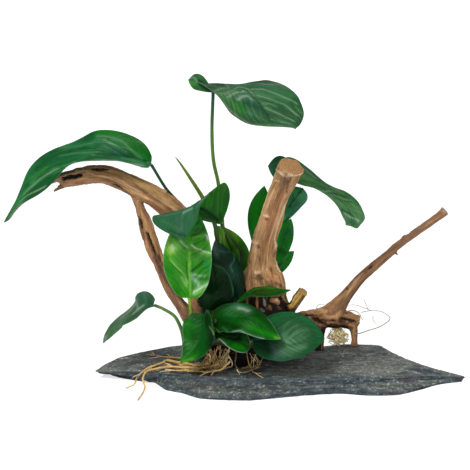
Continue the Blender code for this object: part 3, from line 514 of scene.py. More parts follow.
        (((-16.8, -4.3, 59.5), (-13.6, -4.6, 57.9)), 1.2, 0.4, "ash", 0.5),
        (((-1.4, -1.7, 60.4), (1.2, 1.2, 57)), 1.1, 0.4, "rust", 0.8),
        (((8.4, 1.4, 60.3), (12.4, 0.5, 66.5), (18.5, 1.6, 73.2)), 2.9, 0.3, "yellow", 0.95),
        (((10, 1, 62.4), (14, 0, 68.3), (17.4, -1.3, 72.9)), 0.7, -0.3, "rust", 0.6),
        (((7.2, 4, 62), (10.1, 4.2, 67), (13.6, 0.4, 73.6)), 0.9, 0, "void", 0.7),
        (((15.2, 6.4, 58.8), (18.2, 3.3, 63.9), (21.2, -0.4, 70.5)), 1.9, 0, "torn", 0.9),
        (((9.3, 1.2, 56.1), (13.3, 1.8, 58.5)), 2.4, 0, "rot", 0.8),
        (((17.9, 26.9, 48.3), (27.2, 29.9, 47.8), (39, 31.2, 46.3)), 2.2, 0.7, "tan", 0.8),
        # painted shade: the dark line and underside of the right root, in the rot colour
        (((22.2, 20.8, 46.1), (26.9, 22.9, 43.3), (35.6, 28, 35.6)), 2.2, -2.2, "rot", 0.95),
        (((23.5, 21.9, 46.6), (30.3, 25.3, 44.8)), 1.2, -0.4, "void", 0.8),
        (((25.2, 21.8, 44.2), (28.6, 24, 42.6)), 1.1, 0.4, "ash", 0.8),
        (((29, 25, 41.5), (36, 29, 37.5), (42, 30, 35)), 3.4, -0.6, "rot", 0.9),
        (((27, 23.9, 40.4), (35.9, 31.5, 32.7)), 1.2, 0.2, "pink", 0.6),
        (((37.2, 29.3, 45.7), (42.3, 29, 41.4), (47.4, 31.5, 41.5),
          (51, 35.1, 43.9)), 2.6, 0.9, "tan", 0.75),
        (((43.2, 29.5, 39.1), (46.6, 31, 37.8)), 1.2, -0.8, "void", 0.9),
        (((40.7, 29.1, 37), (45.9, 31.8, 34.4)), 1.6, 0.7, "orange", 0.7),
        (((35.9, 31.1, 31.5), (45.9, 31.5, 32.5), (56.7, 38, 29.5)), 3.6, -0.4, "void", 0.97),
        (((51.5, 33, 38), (57, 35, 33)), 3.2, -0.4, "rot", 0.85),
        (((51.7, 32.8, 40.2), (56.9, 34.4, 38), (64.8, 36.8, 35.4)), 1.7, -0.8, "void", 0.95),
        (((52.7, 34.6, 42.6), (59.5, 35.7, 39.8)), 1.2, 0.6, "tan", 0.6),
        (((56.2, 34.9, 34.8), (63.3, 38.5, 31.4)), 1.2, 0.4, "orange", 0.7),
        (((51.1, 33.7, 33.8), (60.1, 39.4, 27.5)), 1.8, -0.4, "void", 0.9),
        (((59.1, 43.8, 33.2), (61, 39.9, 23.8), (60.9, 40.3, 14.8)), 1.3, -0.3, "void", 0.85),
        (((63.2, 37.6, 30.8), (64.1, 38.1, 17.3)), 1.3, 0.2, "tan", 0.7),
        (((66.3, 44.3, 33.1), (65.4, 38.3, 27.9)), 0.9, 0, "rot", 0.6),
        (((49.3, 38.8, 62), (42.7, 38.8, 53.2), (36.1, 38.9, 46.5)), 1.8, 0.2, "tan", 0.6),
        (((55.8, 37.5, 65.3), (57.2, 34.5, 64.5)), 1.2, -0.6, "void", 0.7),
        (((73.5, 34.3, 82.3), (76.7, 34.1, 85.3)), 1.4, -0.9, "void", 0.9),
        (((70.7, 34.2, 79.4), (72.4, 34.5, 81.4)), 1.3, 0.9, "dark", 0.5),
        (((102.6, 35.3, 113.8), (104.9, 34.2, 116.1)), 1.1, -0.9, "void", 0.95),
        (((107, 34.2, 117.8), (108.9, 34.2, 119.4)), 1, -0.8, "void", 0.9),
        (((100.2, 35.3, 110.3), (101.8, 35.3, 112.1)), 1.3, 0.7, "dark", 0.4),
        (((58.9, 33.9, 64.3), (71.9, 33.7, 76.5), (86.4, 33.1, 92.1)), 1.3, 0.1, "tan", 0.3),
        (((53.2, 32.2, 48.3), (60.6, 33.5, 59.2), (72.1, 34.7, 72.7)), 1.1, -0.3, "dark", 0.5),
        (((77, 37.1, 87.6), (91.7, 38, 101.1), (101, 35.3, 112.1)), 0.9, -0.3, "dark", 0.45),
        (((50.7, 33.6, 55.7), (60.5, 34, 66)), 1.4, 0, "gold", 0.35),
    ),
    "paints": {
        # The near-black first colour is painted shade in hollows and cracks, and in the gaps under the
        # leaves and roots.
        "void": (0.007, 0.004, 0.003), "dark": (0.085, 0.040, 0.020), "pale": (0.52, 0.33, 0.175),
        # rot is real rot on the trunk's foot and painted shade under the right root
        "purple": (0.140, 0.070, 0.052), "pink": (0.42, 0.205, 0.115), "rot": (0.050, 0.018, 0.009),
        "cream": (0.74, 0.54, 0.34), "tan": (0.46, 0.26, 0.115), "gold": (0.42, 0.26, 0.080),
        "rust": (0.21, 0.080, 0.032), "moss": (0.130, 0.085, 0.036), "torn": (0.145, 0.078, 0.048),
        "peach": (0.80, 0.40, 0.20), "orange": (0.52, 0.245, 0.095), "ash": (0.46, 0.37, 0.34),
        "yellow": (0.60, 0.38, 0.085)},
    "streaks": {"dark": (0.120, 0.050, 0.020), "light": (0.60, 0.37, 0.18), "blotch": (0.34, 0.19, 0.085)},
}


def woodFinish():
    f = Finish("weatheredWood", Specular_IOR_Level=0.22)
    grain = f.field("grain", "Vector")
    tint = f.field("tint", "Color")
    fibre = f.noise(f.stretched(grain, 0.05, 1.15, 1.15), 1.0, 5.0, 0.6, 0.4)
    streak = f.noise(f.stretched(grain, 0.016, 0.25, 0.25), 1.0, 4.0, 0.55, 0.8)
    blotch = f.noise(f.objectPlace(), 0.09, 3.0, 0.55)
    paint = driftwood["streaks"]
    shade = f.mix(f.step(streak, 0.52, 0.72) * 0.62, tint, paint["dark"])
    shade = f.mix(f.step(streak, 0.48, 0.32) * 0.45, shade, paint["light"])
    shade = f.mix(f.step(blotch, 0.48, 0.70) * 0.25, shade, paint["blotch"])
    dim = f.step(fibre, 0.30, 0.66, 0.66, 1.14)
    shade = f.mix(1.0, shade, f.node("CombineXYZ", None, {0: dim, 1: dim, 2: dim}), "MULTIPLY")
    f.feed("Base Color", f.mix(f.field("keep"), shade, tint))   # hollows keep their painted shade and saw cuts their own colour
    f.feed("Roughness", f.step(fibre, 0.3, 0.7, 0.86, 0.66))
    f.feed("Normal", f.bump(fibre * 0.7 + streak * 0.6, 0.5, 0.85))
    return f.material


def fusedLimbs():
    flutes = driftwood["flutes"]
    relief = lambda angle, run: sum(h * np.sin(n * angle + phase + 0.012 * run) for n, h, phase in flutes)
    spacing = driftwood["spacing"]
    lines = {name: spacedLine(limb["line"], spacing) for name, limb in driftwood["limbs"].items()}
    points, faces = joined([tubeMesh(line, driftwood["sides"], relief) for line in lines.values()])
    form = makePiece("woodForm", points, faces, woodFinish())
    remesh = form.modifiers.new("fuse", "REMESH")
    remesh.mode = "VOXEL"
    remesh.voxel_size = driftwood["voxel"] * mm
    relax = form.modifiers.new("relax", "SMOOTH")
    relax.factor, relax.iterations = 0.5, 3
    mesh = bpy.data.meshes.new_from_object(form.evaluated_get(bpy.context.evaluated_depsgraph_get()))
    bpy.data.objects.remove(form)
    return mesh, lines


def limbFields(points, lines):  # grain coordinates, tone, groove depth and lump height at each point
    total = np.zeros(len(points))
    sums = {"grain": 0, "tone": 0, "grooves": 0, "lumps": 0}
    for order, (name, line) in enumerate(lines.items()):
        limb = driftwood["limbs"][name]
        along, side, other, run = lineFrames(line)
        square = (points ** 2).sum(1)[:, None] - 2 * points @ line[:, :3].T + (line[:, :3] ** 2).sum(1)
        near = square.argmin(1)
        offset = points - line[near, :3]
        gap = np.linalg.norm(offset, axis=1) - line[near, 3]
        weight = np.exp(-np.clip(gap, -6, 60) / 1.3) + 1e-12
        pick = lambda axes: (offset * axes[near]).sum(1)
        grain = np.column_stack([run[near] + pick(along) + 37.0 * order, pick(side), pick(other)])
        values = {**limb, "tone": np.array(limb["tone"]), "grain": grain}
        for key in sums:
            share = weight[:, None] if np.ndim(values[key]) else weight
            sums[key] = sums[key] + values[key] * share
        total += weight
    return {key: value / (total if value.ndim == 1 else total[:, None]) for key, value in sums.items()}


def makeDriftwood():
    mesh, lines = fusedLimbs()
    count = len(mesh.vertices)
    flat = np.empty(count * 3, np.float32)
    mesh.vertices.foreach_get("co", flat)
    points = flat.reshape(-1, 3).astype(float) / mm
    mesh.vertices.foreach_get("normal", flat)
    normals = flat.reshape(-1, 3).astype(float)
    fields = limbFields(points, lines)
    grain, tone = fields["grain"], fields["tone"]
    ridges = 1 - 2 * np.abs(rough(grain * driftwood["grainScale"], 3, 11.0))
    waves = rough(points * driftwood["waveScale"], 2, 23.0)
    lumps = rough(points * driftwood["lumpScale"], 4, 31.0)
    push = fields["grooves"] * (ridges - 0.75) + fields["lumps"] * (0.7 * waves + 0.8 * lumps)
    keep, smooth = np.zeros(count), points.copy()
    ragged = rough(points * driftwood["edgeScale"], 3, 51.0)
    tint = tone * (1 + 0.28 * waves + 0.22 * (ridges - 0.6))[:, None]
    for path, radius, height, paint, share in driftwood["marks"]:
        path = np.array(path, float)
        steps = spacedLine(path, driftwood["markSpacing"]) if len(path) > 2 else np.linspace(*path, 4)
        steps = [smooth[((smooth - spot) ** 2).sum(1).argmin()] for spot in steps]  # laid on the wood
        parts = len(steps) - 1
        swell = [math.sin(math.pi * (k + 0.5) / parts) for k in range(parts)]
        taper = [1 if radius > 2 else 0.3 + 0.9 * size for size in swell]   # thin marks run out at the ends
        near = np.min([toSegment(smooth, steps[k], steps[k + 1]) / taper[k] for k in range(parts)], axis=0)
        fall = np.clip(1.1 - (near / radius) ** 2 + 0.5 * ragged, 0, 1) ** 1.5
        push += height * fall
        tint = mixed(tint, driftwood["paints"][paint], np.clip(fall * 1.6, 0, 1) * share)
        # painted shade keeps its near-black colour, without grain streaks
        if paint == "void":
            keep = np.maximum(keep, np.clip(fall * 1.5, 0, 1) * share)
    points = points + normals * push[:, None]
    for centre, normal, reach, paint, rimPaint in driftwood["cuts"]:
        normal = unit(np.array(normal, float))
        over = (points - centre) @ normal
        near = np.linalg.norm(points - centre, axis=1) < reach
        cutAway = near & (over > 0)
        points[cutAway] -= normal * over[cutAway, None]
        face = near & (over > -0.25)
        apart = np.linalg.norm(points - centre, axis=1)
        rings = 0.86 + 0.14 * np.sin(apart * driftwood["ringScale"] + 2 * rough(points * 0.2, 2, 3.0))
        splinter = rough(points * driftwood["splinterScale"], 3, 77.0)
        points[face] += normal * (0.22 * splinter[face, None])
        tint[face] = np.array(paint) * (rings + 0.25 * splinter)[face, None]
        keep[face] = 0.6
        rim = near & ~face & (over > -2.2)
        patchy = 0.7 * np.clip(0.2 + 2 * splinter[rim], 0, 1)
        tint[rim] = mixed(tint[rim], driftwood["paints"][rimPaint], patchy)
    points[:, 2] = np.maximum(points[:, 2], slate["top"] + 0.05)
    mesh.vertices.foreach_set("co", (points * mm).astype(np.float32).ravel())
    for name, values in (("grain", grain), ("tint", colours(tint)), ("keep", keep)):
        store(mesh, name, values)
    mesh.shade_smooth()
    settle(placed("driftwood", mesh), ["driftwood_" + part for part in (
        "stump", "arch_limb", "arch_strut", "trunk", "stub", "right_root", "right_branch",
        "right_foot", "middle_foot")])
    print("driftwood:", len(mesh.polygons), "faces")


makeDriftwood()


# Leaves. midrib runs from stalk to tip; width is across both halves when flat, widest is how far along,
# and leftWidth and rightWidth scale each half on the way; lobe and lift draw the stalk end back and up;
# face is where the upper side looks; left and right fold each half up, in degrees; curl bends it on.
# deep, light and under are its colours; veins is how clear they are and slant how they lean; quilt, between
# them, and wave, at the margin, are heights in millimetres, and wave has the number of waves too; gloss is
# its roughness; rib and rim are a colour and its share on midrib and margin. A stroke above or below has
# places in hundredths of the length and the half width, its reach in millimetres, a colour and its share.
# ears are small blades at the stalk end; what an ear doesn't say is as on its leaf, but for leafOnly.
leaves = {
    "arching": {
        "midrib": [(-103, -4, 179), (-121, -5, 184), (-145, -9, 186), (-171, -10, 178), (-199, -14, 158),
            (-219, -14, 134)],
        "width": 53, "widest": 0.5, "lobe": -1, "face": [(0.65, -0.4, 0.65), (0.2, 0.05, 1)],
        "left": (12, 41, 26, 17, -30), "right": (67, 1, -14, 21, 18), "curl": -3,
        "leftWidth": (1.05, 0.95, 0.9, 0.95, 1, 1.1), "rightWidth": (0.95, 1.2, 1.1, 1.05, 1.05, 1.05),
        "stalk": [(-102, -4, 176.5), (-92, 5, 157), (-79, 13, 139), (-60, 8, 110), (-57.5, 2, 80),
            (-64, -10, 54), (-67.5, -16, 38)],
        "radius": (1.3, 1.6),
        "deep": (0.003, 0.06, 0.014), "light": (0.014, 0.13, 0.036), "under": (0.1, 0.17, 0.12),
        "veins": 0.6, "slant": 1.5, "quilt": 0.5, "wave": (0.6, 3), "gloss": 0.42, "rib": ("forest", 0.3),
        "rim": ("forest", 0.5),
        "above": [
            (28, 95, 19, 94, 13, 81, 6, 76, 2, 60, 3.6, "bright", 0.9),
            (18, 96, 12, 85, 6, 70, 2, 69, 2.1, "forest", 0.6),
            (17, 66, 12, 43, 5, 25, 2.1, "bright", 0.7),
            (30, 78, 23, 70, 17, 61, 14, 43, 10, 23, 6, 12, 0.8, "sageLight", 0.5),
            (27, 59, 22, 43, 17, 34, 15, 23, 0.9, "sageLight", 0.6),
            (25, 61, 20, 46, 16, 30, 11, 11, 0.7, "forest", 0.8),
            (27, 46, 23, 30, 18, 14, 14, 3, 0.8, "deepBlue", 0.8),
            (27, 34, 23, 21, 19, 5, 0.8, "sage", 0.8), (14, -9, 18, -1, 23, 11, 2, "deepBlue", 0.8),
            (46, 66, 39, 44, 31, 25, 28, 10, 25, -12, 0.9, "forest", 0.8),
            (52, 53, 44, 36, 35, 14, 29, -25, 1.2, "sage", 0.8),
            (51, 34, 43, 18, 34, -25, 0.6, "green", 0.6),
            (29, 62, 34, 56, 43, 68, 50, 88, 1.6, "sage", 0.55), (61, 43, 67, 45, 1.4, "bright", 0.5),
            (82, 68, 74, 80, 1.4, "bright", 0.6),
            (34, -100, 41, -97, 51, -11, 57, 5, 64, 9, 72, 9, 80, 14, 1, "sageLight", 0.8),
            (42, -100, 50, -60, 57, -31, 1.2, "leafy", 0.7), (38, -100, 45, -100, 1, "forest", 0.9),
            (61, 34, 67, 38, 73, 33, 1.1, "leafy", 0.45), (61, -10, 68, -5, 75, -7, 0.7, "green", 0.6),
            (66, -80, 72, -60, 78, -39, 84, -24, 0.9, "paleRim", 0.7),
            (70, -59, 77, -35, 84, 11, 0.6, "forest", 0.5),
            # The greyOlive and grey strokes on the left margin are painted reflection, a grey sheen on the
            # blade's lower edge.
            (82, -94, 89, -80, 94, -88, 2.4, "greyOlive", 0.8),
            (33, -100, 27, -94, 21, -100, 11, -100, 4, -80, 1.2, "grey", 0.85),
            (18, -50, 9, -41, 5, -32, 0.9, "sage", 0.8), (14, -17, 7, -24, 2, -32, 0.6, "forest", 0.8)],
        "ears": [{
            "midrib": [(-102.7, -4.5, 179.1), (-105.3, -6.5, 178.7), (-108.4, -7.5, 177.4),
                (-110.7, -8, 177.1)],
            "width": 4.6, "widest": 0.4, "lobe": 0, "face": [(0.1, -0.8, 0.6), (0.1, -0.8, 0.6)],
            "left": (20, 20), "right": (30, 30), "curl": 0,
            "deep": (0.05, 0.13, 0.075), "light": (0.08, 0.16, 0.1), "under": (0.09, 0.16, 0.11),
            "veins": 0.2,
            "above": [
                (18, -72, 66, -34, 0.64, "deepBlue", 0.5)],
        }],
    },
    "top": {
        "midrib": [(-54, -6, 236), (-39, -25, 240), (-28, -36, 238), (-16, -45, 228), (-6, -52, 221),
            (8, -63, 217)],
        "width": 68, "widest": 0.62, "lobe": 19, "lift": 6,
        "face": [(0.4, -0.4, 0.85), (0.6, -0.5, 0.65)],
        "left": (21, -6, 26, -1), "right": (17, 1, -1, 11), "curl": -5,
        "leftWidth": (1.05, 1.05, 1.1, 1.2, 1.25), "rightWidth": (1, 1.05, 1.05, 1, 0.95),
        "stalk": [(-54, -6, 234), (-55, -5, 206), (-54, -4, 182), (-50, -2, 161), (-47, 2, 129),
            (-46, 1, 96), (-48, -2, 68), (-52, -9, 51), (-53, -17, 38)],
        "radius": (1.4, 1.9),
        "deep": (0.005, 0.045, 0.013), "light": (0.019, 0.088, 0.028), "under": (0.09, 0.16, 0.1),
        "veins": 0.35, "slant": 1, "quilt": 0.28, "wave": (0.4, 3.5), "gloss": 0.45,
        "rib": ("deepBlue", 0.3), "rim": ("mauve", 0.5),
        "above": [
            (37, -40, 43, -60, 52, -71, 62, -85, 1.2, "green", 0.7),
            (46, -24, 52, -45, 61, -56, 72, -65, 1, "green", 0.85),
            (55, -19, 64, -32, 73, -44, 82, -54, 0.9, "forest", 0.8),
            (63, -17, 71, -29, 83, -42, 93, -60, 1, "forest", 0.75),
            (74, -5, 84, -14, 94, -31, 0.8, "forest", 0.6),
            (41, -29, 47, -46, 56, -57, 66, -70, 74, -85, 0.7, "sageLight", 0.95),
            (50, -17, 55, -29, 62, -41, 69, -51, 78, -60, 85, -69, 0.8, "sageLight", 0.9),
            (59, -7, 63, -25, 67, -30, 0.6, "sageLight", 0.6),
            (64, -7, 72, -17, 82, -30, 90, -44, 0.8, "sageLight", 0.85),
            (78, 14, 85, -2, 93, -15, 0.7, "sageLight", 0.7),
            (29, 98, 12, -75, 28, -62, 43, -70, 52, -99, 0.8, "mauve", 0.6),
            (39, 90, 30, 34, 27, -30, 37, -22, 0.8, "grey", 0.65),
            (47, 74, 42, 33, 39, -4, 0.8, "silver", 0.5), (43, 94, 43, 68, 37, 25, 1.7, "greyOlive", 0.6),
            (46, 91, 50, 75, 1.8, "leafy", 0.4), (54, 68, 60, 76, 2.3, "leafy", 0.6),
            (54, 50, 61, 65, 3, "bright", 0.85), (54, 33, 58, 23, 63, 16, 3.2, "deepBlue", 0.95),
            (50, 49, 47, 24, 47, 5, 52, 5, 1.1, "silver", 0.55), (64, 55, 69, 44, 75, 44, 2, "sage", 0.6),
            (81, 100, 86, 80, 1.7, "leafy", 0.5),
            (51, 100, 61, 93, 72, 93, 80, 100, 0.9, "greyOlive", 0.6),
            (83, 100, 91, 100, 95, 23, 0.8, "greyBrown", 0.45), (76, -79, 83, -88, 2, "leafy", 0.5),
            (34, -19, 48, -6, 59, -4, 71, 4, 83, 36, 0.6, "dark", 0.85),
            (34, -27, 49, -9, 0.5, "grey", 0.45)],
        "ears": [{
            "midrib": [(-51, -8, 236), (-58, -10, 239), (-66, -11, 244), (-73, -11, 246)],
            "width": 13, "widest": 0.72, "lobe": 0, "face": [(0, -0.9, 0.4), (-0.1, -1, 0.1)],
            "left": (10, 30), "right": (0, 0), "curl": 0,
            "deep": (0.012, 0.085, 0.025), "light": (0.022, 0.11, 0.03), "under": (0.05, 0.12, 0.06),
            "veins": 0.3, "quilt": 0.2, "wave": (0.2, 2), "gloss": 0.5,
            "above": [
                (97, -95, 75, -22, 1.6, "leafy", 0.8), (96, 75, 86, 55, 70, -5, 0.56, "grey", 0.7),
                (90, 100, 81, 80, 1.28, "forest", 0.6), (69, 31, 54, 31, 0.64, "dark", 0.8)],
        }],
    },
    "folded": {
        "midrib": [(-48, -21, 134), (-58, -31, 145), (-69, -41, 152), (-76, -49, 149), (-76, -54, 130)],
        "width": 58, "widest": 0.5, "lobe": -1,
        "face": [(-0.1, -1, -0.05), (0.3, -0.85, -0.45), (0.2, -0.05, -1), (0.4, 0.9, -0.25)],
        "left": (-48, -35, 5, -2, 0), "right": (-38, -39, -4, 1, -5), "curl": 7,
        "leftWidth": (1, 1.2, 1.4, 1.5, 1.55), "rightWidth": (1.2, 1.15, 0.9, 0.6, 0.55),
        "stalk": [(-47, -19.8, 132.4), (-37, -9, 116), (-32, 1, 102), (-36, 1.5, 75), (-43, -8, 52),
            (-47, -17, 38)],
        "radius": (1.2, 1.6),
        "deep": (0.003, 0.085, 0.002), "light": (0.008, 0.12, 0.003), "under": (0.016, 0.085, 0.032),
        "veins": 0.3, "slant": 0.5, "quilt": 0.2, "wave": (0.3, 2.5), "gloss": 0.5,
        "rib": ("shadow", 0.3), "rim": ("sage", 0.4),
        "above": [
            (48, 100, 42, 100, 25, 88, 1.8, "leafy", 0.5), (48, 86, 30, 24, 0.6, "leafy", 0.5),
            (41, 85, 14, 19, 0.6, "leafy", 0.5), (28, 81, 10, 38, 0.6, "leafy", 0.35),
            (45, 50, 36, 15, 0.6, "leafy", 0.3), (43, 79, 22, 19, 0.5, "forest", 0.5),
            (23, 91, 9, 68, 0.8, "forest", 0.6), (32, -12, 15, -16, 11, 0, 1.5, "forest", 0.6),
            (13, -55, 8, -10, 0.5, "leafy", 0.6), (43, 5, 30, 4, 18, 4, 7, 5, 1.2, "shadow", 0.95),
            (10, 30, 4, 16, 1.2, "dark", 0.7)],
        # The underside's grey-blue and silver strokes are painted reflection on the flap, over its paler
        # underside colour.
        "below": [
            (73, -82, 72, -47, 67, -11, 66, 40, 0.8, "blueGrey", 0.6),
            (70, 0, 67, 21, 66, 51, 0.7, "silver", 0.5), (65, 75, 61, 94, 56, 99, 1, "blueGrey", 0.8),
            (62, 79, 57, 91, 0.5, "silver", 0.6), (89, -61, 94, -39, 97, 100, 0.8, "dark", 0.6),
            (70, 96, 87, 88, 96, 100, 0.8, "green", 0.6), (77, -71, 83, -44, 87, -17, 1.2, "sage", 0.45),
            (76, -19, 89, -11, 1.8, "slate", 0.4), (69, 49, 84, 34, 1.4, "bluish", 0.5),
            (73, -1, 89, -7, 0.5, "blueGrey", 0.5)],
    },
    "glossy": {
        "midrib": [(-73, -25, 75), (-73, -24, 88), (-74, -27, 105), (-72, -32, 126), (-67, -42, 150)],
        "width": 40, "widest": 0.44, "lobe": 0, "face": [(-0.15, -0.9, 0.35), (0, -0.9, 0.4)],
        "left": (-1, 15, 7, 4), "right": (18, 18, 24, -1), "curl": -7, "leftWidth": (1.1, 0.95, 0.9, 1),
        "rightWidth": (1, 1, 1, 1.15),
        "stalk": [(-73, -25, 73.5), (-72, -22, 63), (-73, -17, 50), (-74, -14, 35)],
        "radius": (1.5, 1.7),
        "deep": (0.004, 0.12, 0.001), "light": (0.03, 0.23, 0.006), "under": (0.03, 0.15, 0.03),
        "veins": 0.5, "slant": 0.4, "quilt": 0.9, "wave": (0.5, 3), "gloss": 0.22, "rib": ("lime", 0.3),
        "rim": ("paleRim", 0.7),
        # Its white and silver strokes are painted highlights along the veins and quilting.
        "above": [
            (96, 95, 84, 85, 75, 94, 3.5, "bright", 0.9), (70, 12, 80, 45, 2.3, "forest", 0.8),
            (65, -82, 61, -40, 54, -16, 1.4, "forest", 0.85),
            (38, -85, 27, -68, 15, -42, 2.5, "vivid", 0.8), (39, -45, 31, -15, 1.9, "leafy", 0.7),
            (25, -52, 13, -25, 1.9, "leafy", 0.55), (47, 20, 48, 53, 50, 83, 2.3, "leafy", 0.75),
            (54, 28, 53, 61, 53, 96, 1.4, "lime", 0.45), (47, -46, 44, -15, 2, "leafy", 0.6),
            (45, 79, 31, 90, 1.9, "sea", 0.7), (29, 18, 36, 45, 44, 66, 1.1, "forest", 0.85),
            (20, 58, 22, 94, 1.2, "forest", 0.6), (39, -5, 14, -9, 0.5, "forest", 0.7),
            (41, 21, 9, 20, 0.5, "forest", 0.7), (17, -79, 7, -52, 1.2, "bright", 0.6),
            (56, 5, 40, 10, 22, 5, 2, 9, 0.9, "lime", 0.85), (50, 5, 8, 3, 0.4, "paleLime", 0.5),
            (68, 19, 72, 44, 75, 66, 1.1, "lime", 0.6), (76, 91, 73, 96, 0.9, "white", 0.7),
            (70, 98, 68, 100, 0.7, "paleLime", 0.7),
            (59, 12, 57, 34, 56, 66, 56, 100, 0.5, "white", 0.75), (54, 40, 54, 79, 1.2, "paleLime", 0.4),
            (61, -39, 57, -20, 55, -5, 0.7, "silver", 0.75), (55, -51, 50, -64, 2.3, "paleLime", 0.65),
            (58, -62, 54, -41, 1.4, "lime", 0.7), (52, -79, 48, -69, 1.2, "yellow", 0.9),
            (59, -84, 56, -76, 0.9, "brown", 0.6), (55, -72, 52, -64, 0.8, "white", 0.6),
            (41, -74, 36, -54, 30, -32, 23, -16, 15, -9, 0.5, "paleLime", 0.85),
            (22, -32, 12, -17, 0.9, "paleLime", 0.35),
            (24, 16, 26, 28, 24, 50, 25, 75, 0.7, "silver", 0.6),
            (20, 24, 17, 45, 14, 53, 1.4, "silver", 0.8),
            (6, 33, 9, 56, 13, 83, 17, 100, 0.9, "white", 0.6), (4, 44, 8, 76, 0.9, "paleLime", 0.6)],
    },
    "dark": {
        "midrib": [(-59, -17, 63), (-53, -20, 75), (-53, -14, 86), (-56, -15, 106)],
        "width": 31, "widest": 0.39, "lobe": 1, "face": [(0.15, -1, 0), (-0.15, -0.95, 0.3)],
        "left": (-9, 2, 5, 5), "right": (-30, -1, 16, 13), "curl": -15, "leftWidth": (0.9, 1, 1.05, 1.05),
        "rightWidth": (1.05, 1.05, 0.9, 0.85),
        "stalk": [(-59, -17, 61.5), (-57, -16, 53), (-56, -17, 38)],
        "radius": (1.3, 1.5),
        # Its near-black colours are painted shade: the blade lies in shade behind the others.
        "deep": (0, 0.009, 0.001), "light": (0.001, 0.024, 0.002), "under": (0.03, 0.09, 0.04),
        "veins": 0.2, "slant": 0.5, "quilt": 0.25, "wave": (0.3, 2.5), "gloss": 0.38,
        "rib": ("dark", 0.3), "rim": ("dark", 0.3),
        "above": [
            (83, 34, 72, 76, 1.9, "forest", 0.5), (54, -55, 21, -40, 3.2, "forest", 0.3),
            (27, 40, 41, 71, 4, "shadow", 0.7),
            (87, 24, 78, 95, 64, 96, 48, 88, 36, 94, 0.4, "sage", 0.55)],
    },
    "shaded": {
        "midrib": [(-36, -9, 68), (-39, -10, 85), (-43, -7, 100), (-53, -6, 117)],
        "width": 23, "widest": 0.43, "lobe": 0, "face": [(0.3, -0.85, 0.35), (0.2, -0.9, 0.4)],
        "left": (5, 5, 5, 5), "right": (-7, -13, -23, -18), "curl": -22,
        "leftWidth": (1, 1.05, 1.35, 1.9), "rightWidth": (1.15, 1.25, 1.05, 1),
        "stalk": [(-36, -9, 66.5), (-40, -13, 56), (-42, -17, 38)],
        "radius": (1.3, 1.5),
        "deep": (0.001, 0.018, 0.007), "light": (0.005, 0.042, 0.02), "under": (0.03, 0.09, 0.05),
        "veins": 0.3, "slant": 0.5, "quilt": 0.5, "wave": (0.3, 2.5), "gloss": 0.34,
        "rib": ("darkBlue", 0.3), "rim": ("slate", 0.4),
        # The slate and blue-grey strokes near the tip are painted reflection; the blade's dark colours are
        # painted shade.
        "above": [
            (100, -88, 91, -59, 80, -51, 1.8, "slate", 0.8), (93, -79, 83, -47, 1, "blueGrey", 0.5),
            (83, -14, 76, 31, 71, 86, 0.4, "blueGrey", 0.5), (75, -22, 61, 3, 2, "shadow", 0.8),
            (78, -89, 64, -56, 1, "slate", 0.4), (67, 96, 61, 65, 55, 7, 45, 11, 0.6, "blueGrey", 0.6),
            (49, 68, 30, 64, 2, "darkBlue", 0.5), (32, 24, 6, -19, 1.6, "darkBlue", 0.6)],
    },
    "lowLeft": {
        "midrib": [(-61, -24, 61), (-62, -29, 53), (-66, -34, 40), (-80, -41, 26)],
        "width": 32, "widest": 0.38, "lobe": 1, "face": [(-0.35, -0.45, 0.85), (-0.2, -0.7, 0.7)],
        "left": (51, 12, 5, 15), "right": (24, 14, 11, -3), "curl": 1, "leftWidth": (0.95, 1, 1, 0.95),
        "rightWidth": (1.15, 1.05, 1, 0.95),
        "stalk": [(-60.3, -23, 60), (-62.5, -21, 50), (-63, -17, 38)],
        "radius": (1.2, 1.4),
        "deep": (0.001, 0.05, 0.001), "light": (0.004, 0.12, 0.002), "under": (0.03, 0.14, 0.03),
        "veins": 0.08, "slant": 0.4, "quilt": 0.12, "wave": (0.3, 2.5), "gloss": 0.45,
        "rib": ("bright", 0.2), "rim": ("leafy", 0.3),
        "above": [
            (11, -39, 30, -71, 48, -100, 5.1, "shadow", 1),
            (22, -65, 27, -82, 33, -96, 0.4, "paleLime", 0.6), (9, 83, 9, 14, 18, -71, 2.7, "dark", 0.8),
            (15, 16, 43, -15, 62, -44, 3.6, "forest", 0.8), (17, 79, 60, 64, 75, 1, 2.8, "vivid", 0.5),
            (27, 96, 75, 99, 90, 70, 0.4, "silver", 0.3), (94, -46, 80, -71, 1.6, "lime", 0.6),
            (87, -22, 72, -62, 1.4, "vivid", 0.5), (52, -69, 72, -93, 1.6, "forest", 0.6)],
    },
    "lowMiddle": {
        "midrib": [(-51, -24, 56), (-39, -32, 61), (-22, -41, 61), (-1, -46, 48)],
        "width": 34, "widest": 0.47, "lobe": 5, "face": [(0.3, -0.8, 0.55), (0.65, -0.5, 0.6)],
        "left": (29, -12, -15, 2), "right": (15, 22, 18, -11), "curl": -16,
        "leftWidth": (0.95, 0.95, 0.95, 1), "rightWidth": (1, 1, 1, 1.05),
        "stalk": [(-51.5, -23, 54.5), (-54, -22, 46), (-54, -17, 38)],
        "radius": (1.3, 1.5),
        "deep": (0.001, 0.035, 0.002), "light": (0.003, 0.07, 0.003), "under": (0.04, 0.15, 0.04),
        "veins": 0.25, "slant": 0.6, "quilt": 0.25, "wave": (0.4, 2.5), "gloss": 0.32,
        "rib": ("dark", 0.2), "rim": ("sage", 0.4),
        "above": [
            (58, 50, 74, 48, 89, 29, 2.8, "vivid", 0.85), (43, 39, 57, 44, 2.4, "bright", 0.6),
            (58, -19, 78, -2, 2, "bright", 0.6), (4, -86, 14, -82, 23, -84, 1.7, "dark", 0.7),
            (0, 34, 19, 43, 46, 79, 3.1, "dark", 0.8), (42, -86, 61, -74, 1.7, "forest", 0.7),
            (23, -66, 31, -71, 43, -62, 2.2, "sage", 0.7),
